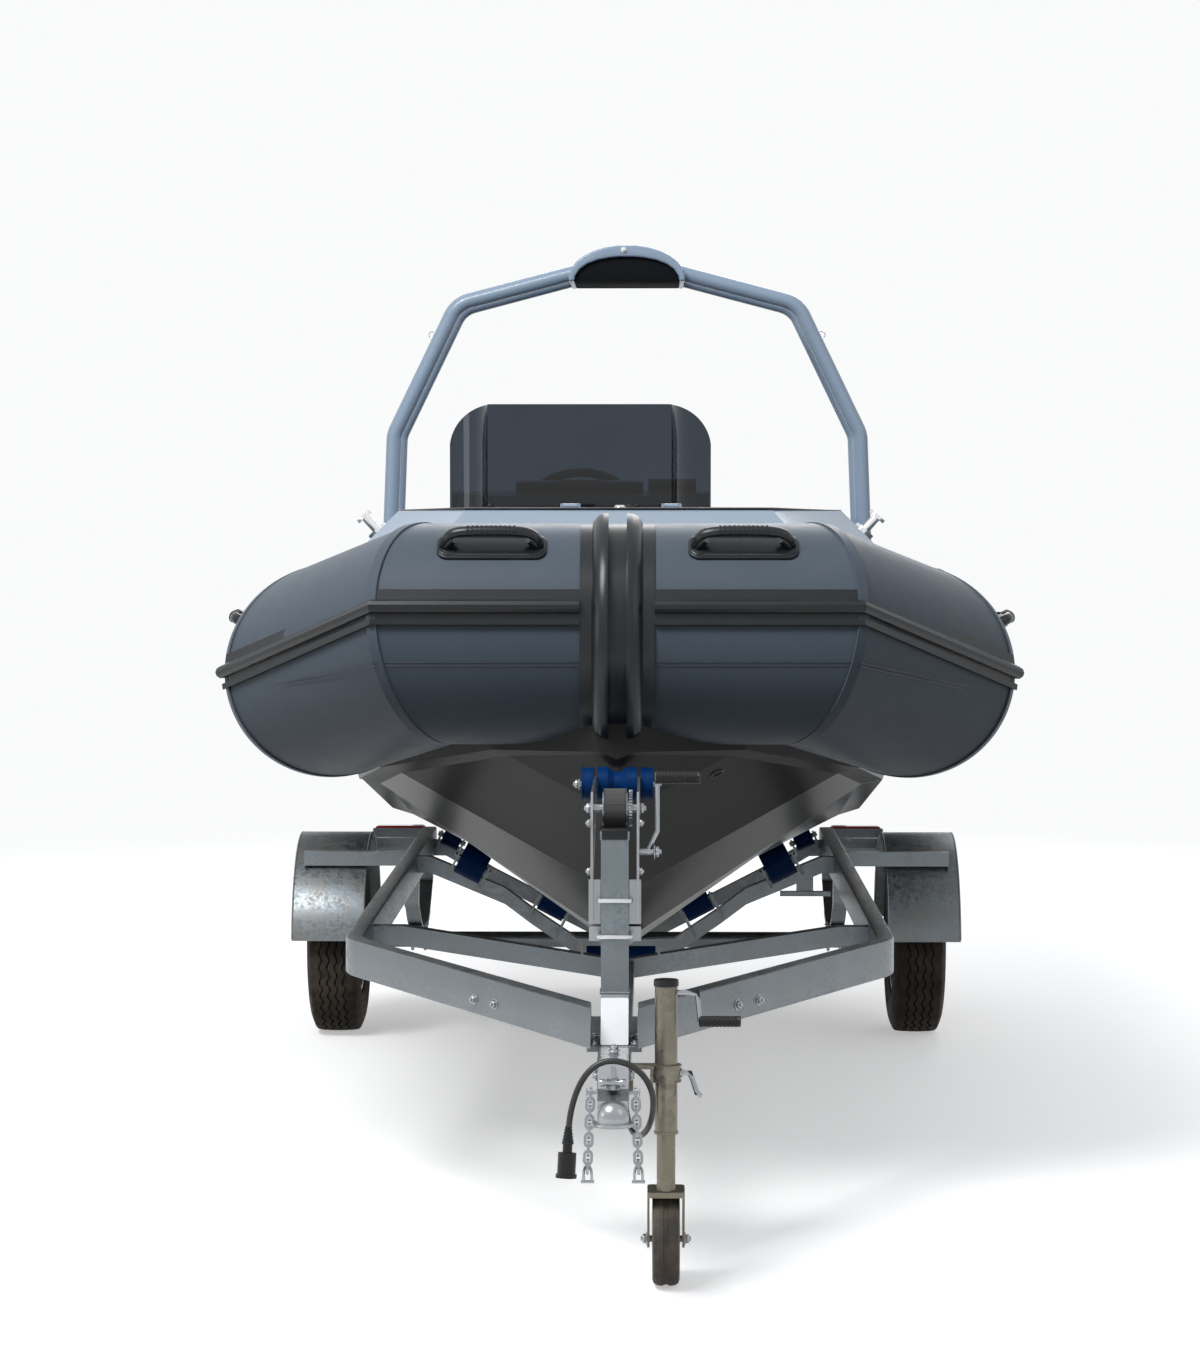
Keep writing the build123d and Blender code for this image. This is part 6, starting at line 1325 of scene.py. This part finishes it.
def stuffed(length, width, thickness, swell):
    """Cushion about the origin, blown up from a rounded block; no point moves farther than swell."""
    bpy.ops.mesh.primitive_cube_add(size=1)
    pad = bpy.context.object
    block = (length - 2 * SEAM_ROOM, width - 2 * SEAM_ROOM, thickness - 2 * CROWN_ROOM, 1)
    pad.data.transform(Matrix.Diagonal(block))
    ease(pad, 0.020, 3)
    even = pad.modifiers.new("even", "REMESH")
    even.mode = "VOXEL"
    even.voxel_size = 0.006
    bpy.ops.object.modifier_apply(modifier="even")
    before = [vertex.co.copy() for vertex in pad.data.vertices]
    air = pad.modifiers.new("air", "CLOTH")
    air.settings.quality = 5
    air.settings.mass = 0.3
    air.settings.use_pressure = True
    air.settings.uniform_pressure_force = 4.0
    air.settings.effector_weights.gravity = 0.0
    air.point_cache.frame_start = 1
    air.point_cache.frame_end = BLOW_FRAMES
    for step in range(1, BLOW_FRAMES + 1):
        scene.frame_set(step)
    only(pad)
    bpy.ops.object.modifier_apply(modifier="air")
    scene.frame_set(1)
    for vertex, start in zip(pad.data.vertices, before):
        crown = (1 - (2 * start.x / length) ** 2) * (1 - (2 * start.y / width) ** 2)
        least = Vector((0, 0, math.copysign(LEAST_CROWN * swell * max(0.0, crown), start.z)))
        moved = vertex.co - start
        if moved.length < least.length:
            moved = least
        if moved.length > swell:
            moved *= swell / moved.length
        vertex.co = start + moved
    return pad


def welts(pad, length, width, height):
    """Piping sewn round the edge of a cushion's face."""
    seam = round_corners(length - 0.030, width - 0.030, 0.022)
    loop = [pad.closest_point_on_mesh((x, y, height))[1] for x, y in seam]
    return rod(loop, 0.0028, smooth=False, closed=True, sides=2)


def piped(length, width, thickness, swell):
    """Cushion about the origin, with the piping of both its faces."""
    pad = stuffed(length, width, thickness, swell)
    return pad, joined([welts(pad, length, width, side * thickness / 2) for side in (-1, 1)])


seat_depth = BACK_FOOT - 0.006 - (SEAT_Y0 - BALL_Y)
seat_pad, seat_welts = piped(SEAT_WIDE, seat_depth, CUSHION, 0.022)
seat_middle = Vector((SEAT_MIDDLE, SEAT_Y0 + seat_depth / 2, SEAT_Z0 + CUSHION / 2))
for piece in (seat_pad, seat_welts):
    piece.data.transform(Matrix.Translation(seat_middle))
back_pad, back_welts = piped(SEAT_WIDE, SEAT_Z1 - SEAT_Z0 - 0.004, BACK_CUSHION, 0.020)
back_middle = at(SEAT_MIDDLE, BACK_FOOT + 0.0565, (SEAT_Z0 + SEAT_Z1) / 2)
for piece in (back_pad, back_welts):
    frame_of(piece, back_middle, PORT, (0, 0.07, 1))
for piece, name in ((seat_pad, "seat_cushion"), (back_pad, "backrest_cushion")):
    dress(piece, name, seat_vinyl, angle=60)
    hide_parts("seat_cushions")
dress(joined([seat_welts, back_welts]), "cushion_piping", black_rubber, angle=60)

# ------------------------------------------------------------------ motor cowl
MOTOR_BACK = Vector((0, 0.5736, 0.8192))  # the motor is tilted 55 degrees at rest
MOTOR_UP = Vector((0, -0.8192, 0.5736))
COWL_CORNER = 0.62  # power of the cosine and sine, which squares the cowl's plan


def on_motor(back, up):
    """Point from its reach behind and above the motor's clamp."""
    return at(0, 5.194, 0.914) + MOTOR_BACK * back + MOTOR_UP * up


def squared(wave):
    """Cosine or sine of a rounded rectangle."""
    return math.copysign(abs(wave) ** COWL_CORNER, wave)


# level up the leg, middle behind the clamp, half length, half width
COWL_LEVELS = [
    (0.062, 0.180, 0.0, 0.0), (0.062, 0.180, 0.164, 0.110), (0.066, 0.180, 0.176, 0.121),
    (0.096, 0.180, 0.204, 0.145), (0.126, 0.180, 0.221, 0.160), (0.131, 0.180, 0.222, 0.161),
    (0.132, 0.180, 0.216, 0.155), (0.138, 0.180, 0.216, 0.155), (0.139, 0.180, 0.224, 0.164),
    (0.146, 0.180, 0.226, 0.166), (0.230, 0.177, 0.232, 0.169), (0.330, 0.172, 0.233, 0.168),
    (0.390, 0.167, 0.226, 0.162), (0.430, 0.161, 0.210, 0.148), (0.455, 0.157, 0.184, 0.128),
    (0.466, 0.155, 0.150, 0.102), (0.470, 0.155, 0.100, 0.066), (0.471, 0.155, 0.0, 0.0),
]
stack = [(1.0 if length else 0.0, float(index)) for index, (_, _, length, _) in enumerate(COWL_LEVELS)]
cowl = turned(stack + [(0.0, 8.0)], 64)
for vertex in cowl.data.vertices:
    up, back, length, width = COWL_LEVELS[round(vertex.co.z)]
    angle = math.atan2(vertex.co.y, vertex.co.x)
    full = 1 if math.hypot(vertex.co.x, vertex.co.y) > 0.5 else 0
    vertex.co.x = back + full * length * squared(math.cos(angle))
    vertex.co.y = full * width * squared(math.sin(angle))
    vertex.co.z = up
frame_of(cowl, on_motor(0, 0), MOTOR_BACK, -PORT)
dress(cowl, "moulded_cowl", cowl_paint, "motor_head", 40)
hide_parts("motor_cowl")
# Louvres of the air inlet high on the cowl's back, and its latch
cowl_trim = []
for index in range(5):
    slat = plate(round_corners(0.150, 0.007, 0.003), 0.006, 0.0012)
    cowl_trim.append(frame_of(slat, on_motor(0.4040, 0.300 + 0.016 * index), PORT, MOTOR_UP))
cowl_latch = plate(round_corners(0.070, 0.040, 0.010), 0.010, 0.003)
cowl_trim.append(frame_of(cowl_latch, on_motor(0.4035, 0.142), PORT, MOTOR_UP))
dress(joined(cowl_trim), "cowl_louvres_and_latch", black_plastic, "motor_head")

# ---------------------------------------------------- tapered ends of the lead
SLEEVE_BORE = 0.0060
SLEEVE_RIBS = 5
SLEEVE_FOOT = 0.004  # plain ring at the wide end
SLEEVE_NARROW = 0.0076
RIB_GROOVE = 0.0008


def sleeve(start, toward, wide, length):
    """Ribbed tapered sleeve round the lead."""
    outline = [(SLEEVE_BORE, 0.0), (wide, 0.0), (wide, SLEEVE_FOOT)]
    pitch = (length - SLEEVE_FOOT) / SLEEVE_RIBS
    for rib in range(SLEEVE_RIBS):
        radius = wide + (SLEEVE_NARROW - wide) * (rib + 1) / SLEEVE_RIBS
        low = SLEEVE_FOOT + pitch * rib
        outline += [(radius - RIB_GROOVE, low + 0.001), (radius - RIB_GROOVE, low + 0.002),
                    (radius, low + 0.003), (radius, low + pitch)]
    outline += [(SLEEVE_BORE, length)]
    return fitted(outline, 28, start, toward - start)


gland_sleeve = sleeve(at(*LEAD_ROUTE[0]), at(*LEAD_ROUTE[1]), 0.0108, 0.030)
dress(gland_sleeve, "lead_gland_sleeve", black_rubber)
plug_sleeve = sleeve(at(*LEAD_ROUTE[-1]), at(*LEAD_ROUTE[-2]), 0.0125, 0.036)
dress(plug_sleeve, "lead_plug_sleeve", black_rubber)

# ------------------------------------------------- fender edges, hull fittings
FENDER_R = 0.3405
fender_arc = [
    (AXLE_AFT + FENDER_R * math.sin(math.radians(a)), TYRE_R + FENDER_R * math.cos(math.radians(a)))
    for a in range(-83, 84, 6)
]
fender_edges = [rod([at(x, aft, z) for aft, z in fender_arc], 0.0038, sides=2) for x in (0.8115, 1.0325)]
dress(both(joined(fender_edges)), "fender_rolled_edges", galvanised)
set_out(HEX_NUT, fender_bolts, "fender_bolts", bright_zinc, both_sides=True)
hull_fitting = turned([
    (0, 0.0), (0.0205, 0.0), (0.0205, 0.002), (0.018, 0.0045), (0.013, 0.0045), (0.0115, 0.0015), (0, 0.0015),
], 36)
hull_fitting.data.transform(Matrix.Diagonal((1.0, 0.72, 1.0, 1)))
stand(hull_fitting, at(0.235, 1.200, 1.0335), (0.56, -0.60, -1.0), 0.5)
dress(hull_fitting, "hull_fitting", black_plastic)
STERN_EYE_Z = 0.790
EYE_BOW = [
    (-0.022, 5.158), (-0.022, 5.180), (-0.016, 5.202), (0, 5.210), (0.016, 5.202), (0.022, 5.180),
    (0.022, 5.158),
]
stern_eyes = []
for middle in (-0.43, 0.43):
    stern_eyes.append(rod([at(middle + x, aft, STERN_EYE_Z) for x, aft in EYE_BOW], 0.0045))
    eye_plate = plate(round_corners(0.075, 0.032, 0.012), 0.004, 0.001)
    stern_eyes.append(frame_of(eye_plate, at(middle, 5.164, STERN_EYE_Z), PORT, UP))
dress(joined(stern_eyes), "stern_eyes", polished_steel)
drain_plug = fitted([
    (0, 0), (0.026, 0), (0.026, 0.003), (0.016, 0.004), (0.015, 0.014), (0.013, 0.016), (0, 0.016),
], 32, at(0.0, 5.159, 0.440), AFT)
dress(drain_plug, "drain_plug", black_plastic)

# ------------------------------------------- lamps, strap hook, small fittings
(_, _, LAMP_Z0), (LAMP_X1, LAMP_Y1, LAMP_Z1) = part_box("lamps")
lens_amber = painted("lens_amber", (0.62, 0.20, 0.015), 0.15, cloud=0.05, coat=0.6)
indicators, lamp_screws, lamp_ribs = [], [], []
lamp_middle = (LAMP_Z0 + LAMP_Z1) / 2
for side in (-1, 1):
    cover = plate(round_corners(0.040, 0.076, 0.005), 0.004, 0.0015)
    indicators.append(frame_of(cover, (side * (LAMP_X1 - 0.026), LAMP_Y1, lamp_middle), -PORT, UP))
    for rise in (-0.036, 0.036):
        lamp_screws.append(((side * (LAMP_X1 - 0.056), LAMP_Y1 - 0.0002, lamp_middle + rise), AFT, 0.0035))
    for index in range(5):
        rib = plate(round_corners(0.052, 0.004, 0.0018), 0.0022, 0.0006)
        spot = (side * (LAMP_X1 - 0.095), LAMP_Y1, lamp_middle + 0.012 * (index - 2))
        lamp_ribs.append(frame_of(rib, spot, -PORT, UP))
dress(joined(indicators), "lamp_indicators", lens_amber)
dress(joined(lamp_ribs), "lamp_lens_ribs", lens_red)
set_out(SCREW_HEAD, lamp_screws, "lamp_screws", polished_steel)

# Snap hook between the winch strap and the bow eye
HOOK_LINE = [
    (1.1005, 0.9405), (1.0935, 0.9290), (1.0990, 0.9165), (1.1110, 0.9140), (1.1185, 0.9225),
    (1.1165, 0.9345), (1.1085, 0.9425),
]
hook_bow = rod([at(0, aft, z) for aft, z in HOOK_LINE], 0.0042)
hook_neck = fitted([(0, 0), (0.0085, 0), (0.0095, 0.002), (0.0095, 0.016), (0.0075, 0.019), (0, 0.019)], 24,
                   at(0, 1.0900, 0.9440), (0, 0.6, -0.35))
dress(joined([hook_bow, hook_neck]), "strap_hook", bright_zinc)

# Fuel filler on the port side deck
filler = fitted([
    (0, 0), (0.034, 0), (0.0355, 0.0015), (0.0345, 0.004), (0.027, 0.005), (0.026, 0.0035), (0.0085, 0.0035),
    (0.0075, 0.0055), (0, 0.0055),
], 40, ridge(4.140) + Vector((-0.060, 0, 0.0005)))
dress(filler, "fuel_filler", polished_steel)

# Round gauges in the dash pod, behind the wheel
GAUGE_RIM = [(0.0300, 0), (0.0345, 0), (0.0350, 0.002), (0.0335, 0.005), (0.0305, 0.0055), (0.0300, 0.004)]
GAUGE_FACE = [(0, 0), (0.0302, 0), (0.0302, 0.0025), (0.004, 0.0025), (0.0035, 0.004), (0, 0.004)]
NEEDLE = [(-0.0012, 0.0), (0.0012, 0.0), (0.0005, 0.024), (-0.0005, 0.024)]
MARK = [(-0.0006, 0.0225), (0.0006, 0.0225), (0.0006, 0.0270), (-0.0006, 0.0270)]
gauge_faces, gauge_rims, gauge_needles = [], [], []
for x in (-0.245, -0.130, -0.015):
    spot = at(x, 3.3063, 1.7020)
    on_face = spot + AFT * 0.0026
    gauge_rims.append(fitted(GAUGE_RIM, 36, spot, AFT))
    gauge_faces.append(fitted(GAUGE_FACE, 36, spot, AFT))
    gauge_needles.append(frame_of(plate(NEEDLE, 0.0008, 0), on_face, (-0.8, 0, 0.5), (0.5, 0, 0.8)))
    for tick in range(9):
        turn = math.radians(-120 + 30 * tick)
        side, up = (-math.cos(turn), 0, math.sin(turn)), (math.sin(turn), 0, math.cos(turn))
        gauge_needles.append(frame_of(plate(MARK, 0.0005, 0), on_face, side, up))
dress(joined(gauge_rims), "gauge_rims", polished_steel)
dress(joined(gauge_faces), "gauge_faces", black_plastic)
dress(joined(gauge_needles), "gauge_needles", white_lens)

# Post: bright foot, its sloped face a sheet of brighter zinc that also carries a painted glint of the light,
# clamps drawn round it, and webbing wound on the winch's drum
foot_way = Vector((0, 0.060, 0.115)).normalized()
foot_face = plate(round_corners(0.0605, 0.108, 0.004), 0.0009, 0.0003, 1)
frame_of(foot_face, at(0, 0.3645, 0.5585) - foot_way.cross(PORT) * 0.0002, PORT, foot_way)
dress(foot_face, "post_foot_face", fresh_zinc_and_glint)
clamps = []
for height, back in ((0.817, 0.425), (0.738, 0.463)):
    half = [(UBOLT_X, back), (UBOLT_X, 0.396), (0.0330, 0.3905), (0.0280, 0.3890)]
    line = [(-x, aft) for x, aft in half] + half[::-1]
    clamps.append(rod([at(x, aft, height) for x, aft in line], 0.0052, smooth=False))
dress(joined(clamps), "post_clamp_rods", fresh_zinc_and_glint)
drum_wrap = fitted([
    (0.030, -0.0228), (0.0422, -0.0228), (0.0428, -0.0220), (0.0428, 0.0220), (0.0422, 0.0228),
    (0.030, 0.0228),
], 48, at(0, *DRUM), PORT)
dress(drum_wrap, "drum_wrap", webbing)

# The pattern pieces have been set out, so they leave
for pattern in (HEX_NUT, SCREW_HEAD, VALVE):
    bpy.data.objects.remove(pattern)
